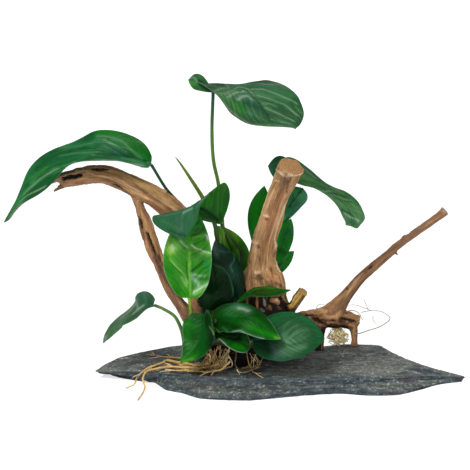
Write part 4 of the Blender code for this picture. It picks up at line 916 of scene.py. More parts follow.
            (31, -60, 38, -57, 43, -50, 1.5, "silver", 0.6), (17, -22, 31, -5, 1.6, "green", 0.6),
            (72, -89, 81, -88, 93, -90, 99, 43, 0.8, "sageLight", 0.7), (93, 50, 99, 83, 1, "lime", 0.8),
            (41, 99, 51, 90, 59, 100, 69, 100, 81, 98, 0.6, "silver", 0.6),
            (16, 66, 34, 100, 45, 100, 0.4, "sage", 0.6), (0, 86, 6, 83, 13, 100, 0.4, "paleLime", 0.6)],
    },
    "lowSmall": {
        "midrib": [(-54, -26, 46), (-45, -30, 44), (-35, -40, 44), (-25, -36, 38)],
        "width": 24, "widest": 0.57, "lobe": 0, "face": [(0.3, -0.55, 0.75), (0.5, -0.7, 0.5)],
        "left": (2, 7, 7, 23), "right": (8, 20, 21, 16), "curl": 0, "leftWidth": (1, 1, 1, 1.1),
        "rightWidth": (1, 1, 1, 1.1),
        "stalk": [(-55, -25.5, 45.5), (-54, -23, 40), (-51, -17, 38)],
        "radius": (1, 1.2),
        "deep": (0.002, 0.06, 0.003), "light": (0.004, 0.085, 0.004), "under": (0.05, 0.15, 0.05),
        "veins": 0.2, "slant": 0.4, "quilt": 0.15, "wave": (0.3, 2.5), "gloss": 0.4, "rib": ("dark", 0.3),
        "rim": ("silver", 0.7),
        "above": [
            (67, 61, 78, 46, 2.1, "vivid", 0.85), (43, 53, 69, -15, 1.9, "shadow", 0.85),
            (15, 100, 59, 94, 0.8, "paleRim", 0.5), (11, -27, 28, -14, 55, -29, 0.4, "paleLime", 0.75),
            (23, 20, 45, 12, 0.3, "paleRim", 0.6)],
    },
    "lowRight": {
        "midrib": [(-22, -27, 40), (-5, -32, 44), (16, -34, 46), (34, -30, 43)],
        "width": 41, "widest": 0.47, "lobe": 1, "face": [(0, -0.85, 0.5), (0.1, -0.9, 0.4)],
        "left": (4, 6, 16, 27), "right": (-3, 17, 21, 17), "curl": 7, "leftWidth": (1, 1, 0.95, 1),
        "rightWidth": (1.05, 1, 1, 1),
        "stalk": [(-23.5, -26.5, 39.7), (-27, -24, 39), (-32, -17, 37)],
        "radius": (1.3, 1.5),
        "deep": (0.002, 0.045, 0.014), "light": (0.005, 0.058, 0.016), "under": (0.04, 0.12, 0.06),
        "veins": 0.4, "slant": 0.9, "quilt": 0.3, "wave": (0.4, 3), "gloss": 0.5, "rib": ("sage", 0.2),
        "rim": ("green", 0.5),
        "above": [
            # The sageLight patch and pale streaks are painted sheen.
            (46, 11, 63, -10, 4.4, "sageLight", 0.5), (38, 39, 54, 61, 69, 49, 3.2, "sageLight", 0.4),
            (33, 54, 43, 79, 1.9, "blueGrey", 0.4),
            (66, -86, 80, -82, 91, -59, 93, 100, 1.9, "green", 0.85),
            (27, -74, 41, -84, 59, -94, 2.2, "green", 0.7), (13, -6, 22, 61, 3.6, "shadow", 0.6),
            (42, 3, 53, -30, 61, -47, 1.2, "sageLight", 0.28),
            (45, 15, 61, -14, 73, -38, 1.2, "sageLight", 0.25),
            (46, 29, 63, 21, 77, -7, 1.2, "sageLight", 0.22),
            (43, 40, 59, 60, 72, 61, 1.2, "sageLight", 0.2),
            (36, 39, 43, 65, 53, 86, 1.2, "sageLight", 0.2),
            (42, -10, 45, -39, 52, -61, 1.2, "sageLight", 0.2), (50, -10, 59, -39, 0.5, "deepBlue", 0.6),
            (52, 15, 68, -20, 0.5, "deepBlue", 0.6), (52, 36, 70, 34, 0.5, "deepBlue", 0.6),
            (43, 24, 54, 44, 67, 73, 0.5, "green", 0.5), (27, 33, 33, 62, 1.9, "slate", 0.6),
            (69, 80, 86, 65, 1.6, "forest", 0.6)],
    },
    "olive": {
        "midrib": [(-30, 19, 84), (-36, 21, 98), (-44, 19, 110), (-54, 20, 123)],
        "width": 23, "widest": 0.47, "lobe": 0, "face": [(0, -0.8, 0.6), (0.05, -0.8, 0.6)],
        "left": (8, 17, 18, -3), "right": (7, 7, 2, 4), "curl": 8, "leftWidth": (0.9, 0.75, 0.8, 1.15),
        "rightWidth": (1.1, 1, 0.9, 1.15),
        "stalk": [(-30, 20, 84), (-29, 25, 71), (-30, 30, 58), (-32, 34, 45)],
        "radius": (1.2, 1.5),
        "deep": (0.016, 0.11, 0.002), "light": (0.09, 0.3, 0.012), "under": (0.03, 0.11, 0.02),
        "veins": 0.2, "slant": 0.5, "quilt": 0.2, "wave": (0.2, 2.5), "gloss": 0.48,
        "rib": ("olive", 0.2), "rim": ("leafy", 0.3),
        "above": [
            (43, 55, 26, 54, 2.8, "forest", 0.8), (51, 100, 39, 99, 2, "forest", 0.6),
            (81, -47, 62, -59, 50, -50, 1.2, "oliveLight", 0.85),
            (68, 53, 50, 40, 1.8, "oliveLight", 0.55), (83, 81, 70, 73, 1, "oliveLight", 0.5),
            (93, 15, 82, -21, 1.1, "leafy", 0.3), (81, 39, 62, 7, 45, -19, 0.9, "shadow", 0.95)],
    },
    "narrow": {
        "midrib": [(-33, -14, 69), (-23, -19, 77), (-8, -25, 81), (7, -23, 81)],
        "width": 23, "widest": 0.46, "lobe": 2, "face": [(0.1, -0.25, 0.95), (0.1, -0.1, 1)],
        "left": (15, 1, 7, -17), "right": (14, 15, -2, -6), "curl": -5, "rightWidth": (1, 1, 1.05, 1.05),
        "stalk": [(-34, -13, 68), (-35, -13, 57), (-36, -17, 38)],
        "radius": (1.1, 1.4),
        "deep": (0.002, 0.04, 0.001), "light": (0.003, 0.09, 0.002), "under": (0.01, 0.09, 0.01),
        "veins": 0.25, "slant": 0.6, "quilt": 0.2, "wave": (0.3, 2.5), "gloss": 0.42,
        "rib": ("forest", 0.3), "rim": ("leafy", 0.4),
        "above": [
            (16, -16, 56, 84, 76, 74, 1.1, "dark", 0.8), (30, -54, 46, -72, 71, -47, 1, "leafy", 0.7),
            (21, 68, 24, -26, 0.8, "sage", 0.5)],
    },
    "backLeft": {
        "midrib": [(-13, 35, 93), (-15, 36, 111), (-16, 35, 133), (-13, 34, 153)],
        "width": 23, "widest": 0.5, "lobe": 3, "face": [(-0.15, -0.95, 0.3), (0, -0.95, 0.3)],
        "left": (-3, -3, 0, 0), "right": (0, 0, 0, 0), "curl": -13, "leftWidth": (0.95, 0.95, 0.95, 0.95),
        "stalk": [(-13, 36, 91.5), (-18, 38, 75), (-20, 37, 49)],
        "radius": (1.2, 1.5),
        "deep": (0.002, 0.085, 0.002), "light": (0.004, 0.125, 0.004), "under": (0.03, 0.12, 0.03),
        "veins": 0.3, "slant": 0.6, "quilt": 0.25, "wave": (0.3, 2.5), "gloss": 0.45,
        "rib": ("bright", 0.3), "rim": ("forest", 0.4),
        "above": [
            (42, -85, 71, -96, 1.3, "forest", 0.7), (85, -51, 59, -45, 2.1, "bright", 0.6),
            (77, -100, 92, -99, 1, "sage", 0.4)],
    },
    "drooping": {
        "midrib": [(3, 40, 162), (14, 36, 164), (28, 30, 157), (45, 22, 147), (58, 16, 132),
            (62, 14, 122)],
        "width": 51, "widest": 0.52, "lobe": 2, "face": [(0.75, -0.55, 0.3), (-0.35, 0.05, 0.95)],
        "left": (10, -23, -35, 8, 16), "right": (10, 9, 42, 46, -4), "curl": -13,
        "leftWidth": (1.15, 1.05, 0.95, 1, 1.15), "rightWidth": (1, 1.05, 1.05, 1, 1.15),
        "stalk": [(3, 41, 161), (-1, 43, 140), (-4, 43, 108), (-5, 42, 75), (-6, 38, 52)],
        "radius": (1.4, 1.7),
        "deep": (0.014, 0.085, 0.02), "light": (0.06, 0.18, 0.055), "under": (0.1, 0.19, 0.12),
        "veins": 0.6, "slant": 1, "quilt": 0.45, "wave": (0.3, 3), "gloss": 0.45, "rib": ("forest", 0.2),
        "rim": ("forest", 0.4),
        "above": [
            (26, 78, 34, 49, 45, 21, 3.3, "bright", 0.95),
            (44, -38, 52, -70, 64, -69, 74, -81, 81, -93, 1.3, "green", 0.6),
            (58, -4, 64, -27, 68, -51, 1, "forest", 0.75), (52, 100, 55, 74, 55, 11, 0.7, "silver", 0.6),
            (60, 68, 63, -5, 70, -25, 73, -61, 0.8, "sageLight", 0.9),
            (70, -16, 75, -47, 0.7, "forest", 0.85),
            (66, 76, 71, 40, 77, -2, 83, -29, 87, -61, 0.8, "sageLight", 0.9),
            (74, 69, 80, 12, 0.5, "sageLight", 0.6), (76, 81, 81, 41, 87, 6, 92, -24, 1.1, "forest", 0.9),
            (80, 74, 86, 41, 94, -39, 0.8, "silver", 0.75), (89, 81, 96, -16, 2, "sage", 0.6),
            (83, 98, 90, 100, 0.9, "grey", 0.6), (63, 90, 67, 89, 1.1, "lime", 0.5),
            (83, -97, 90, -82, 96, -100, 0.8, "blueGrey", 0.6), (19, -49, 32, -41, 1.5, "grey", 0.8),
            (31, 100, 43, 98, 0.7, "leafy", 0.5)],
        "ears": [{
            "midrib": [(13, 39, 164), (1, 38, 167), (-10, 37, 169)],
            "width": 20, "widest": 0.6, "lobe": 0, "face": [(-0.1, -0.9, 0.4), (-0.1, -0.9, 0.4)],
            "left": (0, 0), "right": (0, 0), "curl": 0,
            "deep": (0.008, 0.06, 0.026), "light": (0.014, 0.08, 0.032), "under": (0.04, 0.1, 0.06),
            "veins": 0.4, "quilt": 0.2, "wave": (0.2, 2), "gloss": 0.5,
            "above": [
                (87, 83, 64, 74, 1.6, "deepBlue", 0.6), (95, -20, 81, -100, 1.12, "sage", 0.5)],
        }],
    },
    "backBlue": {
        "midrib": [(0, 34, 117), (3, 32, 128), (9, 31, 139), (18, 25, 153)],
        "width": 24, "widest": 0.67, "lobe": 2, "face": [(0.05, -1, 0.1), (0.2, -0.95, 0.25)],
        "left": (1, 0, -6, -13), "right": (-2, -12, -18, -13), "curl": -29,
        "leftWidth": (1, 0.95, 0.9, 0.95), "rightWidth": (1, 0.95, 0.95, 1.1),
        "stalk": [(0.5, 36, 114.5), (1.5, 39, 100), (1, 43, 82), (1, 38, 50)],
        "radius": (1.2, 1.5),
        "deep": (0.012, 0.125, 0.046), "light": (0.045, 0.29, 0.1), "under": (0.04, 0.12, 0.07),
        "veins": 0.5, "slant": 0.9, "quilt": 0.35, "wave": (0.3, 2.5), "gloss": 0.46,
        "rib": ("deepBlue", 0.3), "rim": ("blueGrey", 0.6),
        "above": [
            (100, 0, 76, 6, 51, 3, 1.1, "dark", 0.8), (95, -69, 73, -24, 55, -19, 0.8, "sage", 0.7),
            (94, 86, 67, 58, 52, 58, 1, "blueGrey", 0.6), (85, 12, 57, 14, 0.7, "sageLight", 0.45),
            (90, -97, 76, -64, 0.8, "darkBlue", 0.7)],
    },
    "backRight": {
        "midrib": [(-8, 32, 86), (0, 32, 100), (4, 31, 113), (9, 31, 126)],
        "width": 19, "widest": 0.52, "lobe": 1, "face": [(0.3, -0.95, 0.2), (0.3, -0.95, 0.2)],
        "left": (2, 5, 5, -2), "right": (2, -5, -5, 2), "curl": -12, "leftWidth": (1, 0.95, 0.95, 1),
        "rightWidth": (1, 0.95, 0.95, 1.05),
        "stalk": [(-8.6, 32.4, 84.6), (1, 33.5, 69), (8, 36.5, 49)],
        "radius": (1.1, 1.4),
        "deep": (0.002, 0.13, 0.006), "light": (0.004, 0.25, 0.012), "under": (0.03, 0.11, 0.04),
        "veins": 0.3, "slant": 0.6, "quilt": 0.3, "wave": (0.4, 2.5), "gloss": 0.42,
        "rib": ("forest", 0.3), "rim": ("green", 0.4),
        "above": [
            (89, -100, 90, -36, 2.1, "bright", 0.7), (70, 4, 78, 48, 1.8, "deepBlue", 0.6),
            (36, -12, 33, 75, 2.5, "dark", 0.7), (58, 4, 45, 51, 1.3, "bright", 0.6),
            (95, 14, 77, 78, 0.8, "sage", 0.6), (84, -59, 58, 4, 0.7, "forest", 0.6)],
    },
    "backSmall": {
        "midrib": [(-10, 38, 71), (-4, 38, 80), (3, 38, 88), (12, 37, 97)],
        "width": 13, "widest": 0.54, "lobe": 1, "face": [(0.25, -0.85, 0.35), (0.25, -0.85, 0.35)],
        "left": (5, 5), "right": (0, 0), "curl": -10,
        "stalk": [(-11, 38.5, 69.5), (-13, 39, 62), (-14, 37.5, 50)],
        "radius": (1.1, 1.3),
        "deep": (0.008, 0.19, 0.012), "light": (0.016, 0.3, 0.024), "under": (0.02, 0.09, 0.02),
        "veins": 0.25, "slant": 0.5, "quilt": 0.15, "wave": (0.2, 2.5), "gloss": 0.44,
        "rib": ("vivid", 0.3), "rim": ("sage", 0.5),
        "above": [
            (54, -32, 44, 49, 1.7, "forest", 0.6), (97, -95, 65, 9, 41, 33, 0.8, "sageLight", 0.6),
            (88, -100, 64, -38, 1, "forest", 0.6)],
    },
    "bottomLeft": {
        "midrib": [(-102, -18, 66.5), (-107, -20, 68), (-114, -20, 62), (-128, -19, 52),
            (-142, -27, 38.5)],
        "width": 37, "widest": 0.38, "lobe": 1, "face": [(-0.35, -0.25, 0.9), (-0.55, -0.05, 0.85)],
        "left": (20, 11, 23, 0), "right": (56, -11, -13, 27), "curl": -7,
        "rightWidth": (0.7, 1.15, 1.15, 1.05, 1.05),
        "stalk": [(-100, -17.6, 66.2), (-94, -19, 64), (-85, -20, 58), (-80, -17, 46), (-78, -13, 34)],
        "radius": (1.3, 1.6),
        # Its grey-green colours and the bluish, grey, greyMauve and slate strokes carry painted reflection,
        # a grey-blue sheen.
        "deep": (0.022, 0.08, 0.03), "light": (0.06, 0.135, 0.06), "under": (0.05, 0.11, 0.1),
        "veins": 0.35, "slant": 0.8, "quilt": 0.25, "wave": (0.3, 2.5), "gloss": 0.48,
        "rib": ("sage", 0.3), "rim": ("slate", 0.3),
        "above": [
            (10, -93, 16, -97, 27, -82, 1.2, "forest", 0.85),
            (37, -100, 67, -100, 83, -99, 2.6, "leafy", 0.7), (43, -100, 76, -100, 1.1, "vivid", 0.5),
            (13, 66, 7, 39, 3.4, "bluish", 0.75), (25, 62, 27, 5, 1.2, "grey", 0.7),
            (39, 66, 56, 48, 1.8, "greyMauve", 0.85), (62, 53, 72, 54, 1.4, "slate", 0.6),
            (16, 6, 28, 15, 39, 5, 0.8, "silver", 0.6), (91, 36, 100, -100, 2.1, "grey", 0.6),
            (78, 1, 91, -54, 1, "forest", 0.6)],
    },
}
# white and silver are painted highlights and sheen, silver also along bright margins; shadow is painted
# shade.
leafPaints = {
    "shadow": (0.0005, 0.008, 0.002), "dark": (0.0008, 0.022, 0.002), "darkBlue": (0.002, 0.022, 0.012),
    "forest": (0.0015, 0.055, 0.006), "deepBlue": (0.004, 0.045, 0.026), "green": (0.006, 0.090, 0.022),
    "bright": (0.002, 0.110, 0.002), "vivid": (0.006, 0.160, 0.004), "leafy": (0.035, 0.170, 0.020),
    "lime": (0.090, 0.300, 0.020), "paleLime": (0.20, 0.42, 0.10), "yellow": (0.28, 0.44, 0.06),
    "olive": (0.018, 0.070, 0.004), "oliveLight": (0.055, 0.120, 0.008), "brown": (0.12, 0.08, 0.03),
    # sageLight is pale veins with painted sheen along them.
    "sage": (0.030, 0.130, 0.050), "sageLight": (0.090, 0.210, 0.100), "bluish": (0.018, 0.085, 0.050),
    # grey, blueGrey, slate, bluish, greyOlive and greyMauve are partly pale blade colour, partly painted
    # reflection, a grey-blue sheen.
    "blueGrey": (0.060, 0.130, 0.100), "slate": (0.050, 0.085, 0.080), "grey": (0.150, 0.220, 0.170),
    "greyOlive": (0.110, 0.175, 0.080), "greyBrown": (0.110, 0.115, 0.080), "mauve": (0.13, 0.13, 0.12),
    "greyMauve": (0.150, 0.170, 0.150), "paleRim": (0.20, 0.32, 0.18), "silver": (0.24, 0.36, 0.27),
    "white": (0.50, 0.64, 0.46), "sea": (0.004, 0.19, 0.045), "vein": (0.45, 0.60, 0.42),
}
leafShades = {    # what the colour is multiplied by
    "bandDark": (0.32, 0.58, 0.40), "bandLight": (1.8, 1.45, 1.7), "fibreDark": (0.45, 0.62, 0.50),
    "fibreLight": (1.9, 1.5, 1.8), "mottle": (0.45, 0.62, 0.45), "vein": (1.9, 1.7, 1.9),
}
leafVeins = {"side": 9, "curve": 1.35, "thick": 0.9, "thin": 0.36, "base": 0.012, "tip": 0.35}
leafOnly = ("lift", "leftWidth", "rightWidth")
leafGrid = {"rows": (1.8, 24, 240), "columns": (0.9, 8, 52)}    # how many to a millimetre, fewest, most


def leafFinish():
    f = Finish("waxyLeaf", Specular_IOR_Level=0.07, Coat_Weight=0.03, Coat_Roughness=0.14)
    tint = f.field("tint", "Color")
    vein, show = f.field("vein"), f.field("show")
    place = f.objectPlace()
    flow = f.node("CombineXYZ", None, {0: vein, 1: f.field("across"), 2: f.field("seed")})
    band = f.noise(f.stretched(flow, 1.5, 1.1, 1.0), 1.0, 5.0, 0.62)
    fibre = f.noise(f.stretched(flow, 6.0, 1.2, 1.0), 1.0, 3.0, 0.6)
    main = f.step(f.node("Math", {"operation": "PINGPONG"}, {0: vein, 1: 0.5}), 0.045, 0.0)
    mottle = f.noise(place, 0.45, 4.0, 0.6)
    cells = f.node("TexVoronoi", {"feature": "DISTANCE_TO_EDGE"}, {"Vector": place, "Scale": 1.1}, 0)
    times = leafShades
    shade = f.mix(f.step(band, 0.50, 0.30) * (0.28 + show * 0.6), tint, times["bandDark"], "MULTIPLY")
    shade = f.mix(f.step(band, 0.52, 0.70) * (0.22 + show * 0.7), shade, times["bandLight"], "MULTIPLY")
    shade = f.mix(f.step(fibre, 0.52, 0.68) * show * 0.6, shade, times["fibreDark"], "MULTIPLY")
    shade = f.mix(f.step(fibre, 0.47, 0.34) * show * 0.7, shade, times["fibreLight"], "MULTIPLY")
    shade = f.mix(f.step(mottle, 0.50, 0.72) * 0.35, shade, times["mottle"], "MULTIPLY")
    bright = f.mix(0.10, f.mix(1.0, shade, times["vein"], "MULTIPLY"), leafPaints["vein"])
    shade = f.mix(show * main * 0.45, shade, bright)
    f.feed("Base Color", shade)
    f.feed("Roughness", f.field("gloss") + mottle * 0.16 - 0.08)
    net = f.step(cells, 0.0, 0.12)
    relief = net * 0.10 + mottle * 0.25 + band * 0.6 - show * (main * 0.5 + fibre * 0.3)
    f.feed("Normal", f.bump(relief, 0.4, 0.6))
    return f.material


def between(values, t):  # smoothly from the first value to the last, pulled aside by those between
    last = len(values) - 1
    shares = np.array([math.comb(last, k) * t ** k * (1 - t) ** (last - k) for k in range(last + 1)])
    return shares.T @ np.array(values, float)


def bladeSurface(leaf, rows, sides):  # points, how far along each row is, half widths
    fine = smoothLine(leaf["midrib"], 121)
    u = np.linspace(0, 1, rows)
    t = 0.5 * u + 0.25 * (1 - np.cos(math.pi * u))
    at = lambda table: np.stack([np.interp(t, np.linspace(0, 1, 121), column) for column in table.T], 1)
    place, along = at(fine), unit(at(unit(np.gradient(fine, axis=0))))
    up = between(leaf["face"], t)
    up = unit(up - along * (up * along).sum(1, keepdims=True))
    across = np.cross(along, up)
    power = math.log(0.5) / math.log(leaf["widest"])
    outline = np.clip((leafVeins["base"] + (1 - leafVeins["base"]) * t) ** power, 0, 1)
    swell = np.sin(math.pi * outline) ** (0.45 + 0.4 * t)
    grid, halves = [], []
    for s in sides:
        reach, side = abs(s), "right" if s > 0 else "left"
        scale = between(leaf.get(side + "Width", (1, 1)), t)
        half = np.maximum(leaf["width"] / 2 * swell * scale, leafVeins["tip"])
        halves.append(half)
        angle = np.radians(between(leaf[side], t))
        bend = math.radians(leaf["curl"]) * reach / 2
        span = half * reach * np.sinc(bend / math.pi)
        aside = math.copysign(1, s) * span * np.cos(angle + bend)
        rise = span * np.sin(angle + bend) + leaf.get("lift", 0) * (1 - t) ** 3 * reach
        back = leaf["lobe"] * (1 - t) ** 3 * reach ** 1.5
        grid.append(place + across * aside[:, None] + up * rise[:, None] - along * back[:, None])
    return np.stack(grid, 1), t, np.stack(halves, 1)


def strokeFall(surface, t, s, stroke):  # its strength on a stroke over the blade, fading over its reach
    *places, reach, paint, strength = stroke
    count = len(places) // 2
    share = np.linspace(0, count - 1, 6 * count - 5)
    at = lambda values: np.interp(share, np.arange(count), np.array(values) / 100)
    row = np.interp(at(places[::2]), t, np.arange(len(t)))
    column = np.interp(at(places[1::2]), s, np.arange(len(s)))
    r, c = np.minimum(row.astype(int), len(t) - 2), np.minimum(column.astype(int), len(s) - 2)
    a, b = (row - r)[:, None], (column - c)[:, None]
    path = ((surface[r, c] * (1 - b) + surface[r, c + 1] * b) * (1 - a)
            + (surface[r + 1, c] * (1 - b) + surface[r + 1, c + 1] * b) * a)
    points = surface.reshape(-1, 3)
    near = np.min([toSegment(points, a, b) for a, b in zip(path, path[1:])], axis=0) ** 2 / reach ** 2
    return strength * (0.76 * np.exp(-near) + 0.24 * np.exp(-near / 6)), leafPaints[paint]


def bladeParts(leaf, seed):  # points, faces and fields of one blade, upper and under side
    howMany = lambda size, dense, fewest, most: int(np.clip(size * dense, fewest, most))
    rows = howMany(lengthOf(smoothLine(leaf["midrib"], 60)), *leafGrid["rows"])
    half = howMany(leaf["width"], *leafGrid["columns"])
    s = np.linspace(-1, 1, 2 * half + 1)
    s = s * (0.72 + 0.28 * np.abs(s))
    middle, t, width = bladeSurface(leaf, rows, s)
    columns = len(s)
    tt, ss = np.repeat(t, columns), np.tile(s, rows)
    reach, wide = np.abs(ss), width.ravel()
    normal = unit(np.cross(np.gradient(middle, axis=1), np.gradient(middle, axis=0))).reshape(-1, 3)
    strokes = {side: [strokeFall(middle, t, s, stroke) for stroke in leaf.get(side, ())]
               for side in ("above", "below")}
    middle = middle.reshape(-1, 3)
    jitter = 0.35 * rough(np.column_stack([tt * 3, ss, np.full(len(tt), seed)]), 2, seed)
    lead = tt - leaf["slant"] * reach ** leafVeins["curve"] * (1 - 0.55 * tt)
    vein = (lead + 0.6) * leafVeins["side"] + jitter + np.where(ss > 0, 0.37, 0)
    fade = smoothStep(reach, 0, 0.10) * (1 - smoothStep(reach, 0.86, 1.0))
    ripple = 0.5 + 0.5 * np.cos(2 * math.pi * vein)      # 1 on a side vein, 0 between
    quilt = -leaf["quilt"] * fade * (ripple ** 3 - 0.35) * np.clip(wide / 16, 0.25, 1)
    size, waves = leaf["wave"]
    phase = np.where(ss > 0, 1.1, 4.0) + seed
    wavy = size * reach ** 3 * np.sin(2 * math.pi * waves * tt + phase) * np.clip(wide / 14, 0, 1)
    ribWidth = 0.5 + 0.8 * (1 - tt)
    ribFall = np.exp(-(reach * wide / ribWidth) ** 2) * (1 - 0.5 * tt)
    thick = leafVeins["thin"] + (leafVeins["thick"] - leafVeins["thin"]) * (1 - reach ** 2)
    lump = 0.35 * rough(middle * 0.07, 2, seed + 3) * smoothStep(reach, 0, 0.3)
    body = middle + normal * (quilt + wavy + lump)[:, None]
    upper = body + normal * (thick / 2 - 0.45 * ribFall)[:, None]
    under = body - normal * (thick / 2 + 0.75 * ribFall)[:, None]
    cloud = 0.5 + 0.5 * rough(middle * 0.045, 3, seed)
    tint = mixed(np.tile(leaf["deep"], (len(tt), 1)), leaf["light"], smoothStep(cloud, 0.25, 0.8))
    tint = tint * (1 + 0.12 * (ripple - 0.5) * leaf["veins"] * fade)[:, None]
    rib, strength = leaf.get("rib", ("lime", 0.35))
    ribShare = strength * np.exp(-(reach * wide / 0.55) ** 2) * (1 - 0.6 * tt ** 2)
    tint = mixed(tint, leafPaints[rib], ribShare)
    rim, rimShare = leaf.get("rim", ("grey", 0.45))
    tint = mixed(tint, leafPaints[rim], rimShare * smoothStep(reach * wide, wide - 0.9, wide - 0.2))
    below = np.array(leaf["under"]) * (0.85 + 0.3 * cloud)[:, None]
    below = mixed(below, leafPaints["sage"], 0.5 * ribFall)
    for fall, paint in strokes["above"]:
        tint = mixed(tint, paint, fall)
    for fall, paint in strokes["below"]:
        below = mixed(below, paint, fall)
    faces, base = [], len(tt)
    for i in range(rows - 1):
        for c in range(columns - 1):
            a = i * columns + c
            faces.append((a, a + 1, a + columns + 1, a + columns))
            faces.append((base + a + columns, base + a + columns + 1, base + a + 1, base + a))
    rimLoop = list(range(columns)) + [i * columns + columns - 1 for i in range(1, rows)]
    rimLoop += [(rows - 1) * columns + c for c in range(columns - 2, -1, -1)]
    rimLoop += [i * columns for i in range(rows - 2, 0, -1)]
    for a, b in zip(rimLoop, rimLoop[1:] + rimLoop[:1]):
        faces.append((b, a, base + a, base + b))
    both = lambda top, bottom: np.concatenate([top, bottom])
    fields = {
        "tint": colours(both(tint, below)), "vein": both(vein, vein),
        "show": both(leaf["veins"] * fade, 0.6 * leaf["veins"] * fade),
        "gloss": both(np.full(len(tt), leaf["gloss"]), np.full(len(tt), 0.55)),
        "across": both(ss, ss), "seed": np.full(2 * len(tt), seed)}
    return both(upper, under), faces, fields


def snake(name):
    return "".join("_" + letter.lower() if letter.isupper() else letter for letter in name)


def makeLeaves():
    finish = leafFinish()
    faces = 0
    for order, (name, leaf) in enumerate(leaves.items()):
        parts = [bladeParts(leaf, 7.0 + 2.3 * order)]
        taken = {key: value for key, value in leaf.items() if key not in leafOnly}
        for ear in leaf.get("ears", ()):
            parts.append(bladeParts({**taken, **ear}, 50.0 + order))
        points, quads = joined([part[:2] for part in parts])
        fields = {key: np.concatenate([part[2][key] for part in parts]) for key in parts[0][2]}
        piece = makePiece("leaf" + name[0].upper() + name[1:], points, quads, finish, fields)
        settle(piece, ["leaf_" + snake(name)])
        faces += len(quads)
    print("leaves:", len(leaves), "blades,", faces, "faces")


makeLeaves()


# Tubes along lines: stalks and roots are swept in Geometry Nodes.
def tubeTree(name):
    tree = bpy.data.node_groups.new(name, "GeometryNodeTree")
    for label, kind in (("Lines", "NodeSocketGeometry"), ("Sides", "NodeSocketInt"),
                        ("Thickness", "NodeSocketFloat"), ("Finish", "NodeSocketMaterial")):
        tree.interface.new_socket(label, in_out="INPUT", socket_type=kind)
    tree.interface.new_socket("Tubes", in_out="OUTPUT", socket_type="NodeSocketGeometry")
    add, link = tree.nodes.new, tree.links.new
    given, out = add("NodeGroupInput"), add("NodeGroupOutput")
    curves, sweep = add("GeometryNodeMeshToCurve"), add("GeometryNodeCurveToMesh")
    ring, radius = add("GeometryNodeCurvePrimitiveCircle"), add("GeometryNodeInputNamedAttribute")
    smooth, real = add("GeometryNodeSetShadeSmooth"), add("GeometryNodeRealizeInstances")
    dress = add("GeometryNodeSetMaterial")
    radius.data_type = "FLOAT"
    radius.inputs["Name"].default_value = "radius"
    sweep.inputs["Fill Caps"].default_value = True
    link(given.outputs["Lines"], curves.inputs[0])
    link(given.outputs["Sides"], ring.inputs["Resolution"])
    link(given.outputs["Thickness"], ring.inputs["Radius"])
    link(curves.outputs[0], sweep.inputs["Curve"])
    link(ring.outputs[0], sweep.inputs["Profile Curve"])
    link(radius.outputs[0], sweep.inputs["Scale"])
    link(sweep.outputs[0], smooth.inputs[0])
    link(smooth.outputs[0], real.inputs[0])
    link(real.outputs[0], dress.inputs[0])
    link(given.outputs["Finish"], dress.inputs["Material"])
    link(dress.outputs[0], out.inputs[0])
    return tree


def sweepLines(name, lines, radii, tints, sides, material):  # one mesh of tubes along all the lines
    starts = np.cumsum([0] + [len(line) for line in lines])
    edges = [(a + k, a + k + 1) for a, line in zip(starts, lines) for k in range(len(line) - 1)]
    mesh = bpy.data.meshes.new(name + "Lines")
    mesh.from_pydata((np.vstack(lines) * mm).tolist(), edges, [])
    store(mesh, "radius", np.concatenate(radii) * mm)
    store(mesh, "tint", colours(np.vstack(tints)))
    guide = placed(name + "Lines", mesh)
    swept = guide.modifiers.new("sweep", "NODES")
    swept.node_group = tubeTree(name + "Sweep")
    socket = {item.name: item.identifier for item in swept.node_group.interface.items_tree
              if item.in_out == "INPUT"}
    swept[socket["Sides"]] = sides
    swept[socket["Thickness"]] = 1.0
    swept[socket["Finish"]] = material
    made = bpy.data.meshes.new_from_object(guide.evaluated_get(bpy.context.evaluated_depsgraph_get()))
    guide.modifiers.remove(swept)
    bpy.data.objects.remove(guide)
    return placed(name, made)


# Stalks: green tubes, a little swollen where they meet the blade and the creeping stem.
stalkLook = {
    "sides": 14, "spacing": 1.6, "join": 1.4, "knee": 0.35, "stripe": (2.0, 1.7, 1.5),
    "top": (0.010, 0.075, 0.030), "low": (0.10, 0.20, 0.012), "change": (0.02, 0.24),
    "others": {"arching": ((0.006, 0.050, 0.030), (0.010, 0.060, 0.030)),
               "top": ((0.003, 0.045, 0.025), (0.045, 0.115, 0.007)),
               # The folded leaf's stalk turns near-black below the blade: painted shade.
               "folded": ((0.02, 0.07, 0.003), (0.001, 0.014, 0.001)),
               "glossy": ((0.16, 0.28, 0.02), (0.10, 0.20, 0.012)),
               "bottomLeft": ((0.07, 0.15, 0.02), (0.05, 0.13, 0.015)),
               "lowSmall": ((0.05, 0.12, 0.02), (0.02, 0.06, 0.01)),
               "narrow": ((0.03, 0.09, 0.02), (0.01, 0.04, 0.01))},
}


def stalkFinish():
    f = Finish("leafStalk", Specular_IOR_Level=0.3)
    place = f.objectPlace()
    line = f.noise(f.stretched(place, 1.3, 1.3, 0.10), 1.0, 3.0, 0.5)
    tint = f.field("tint", "Color")
    shade = f.mix(f.step(line, 0.35, 0.7) * 0.5, tint, f.mix(1.0, tint, stalkLook["stripe"], "MULTIPLY"))
    f.feed("Base Color", shade)
    f.feed("Roughness", f.step(line, 0.3, 0.7, 0.36, 0.52))
    f.feed("Normal", f.bump(line, 0.2, 0.5))
    return f.material


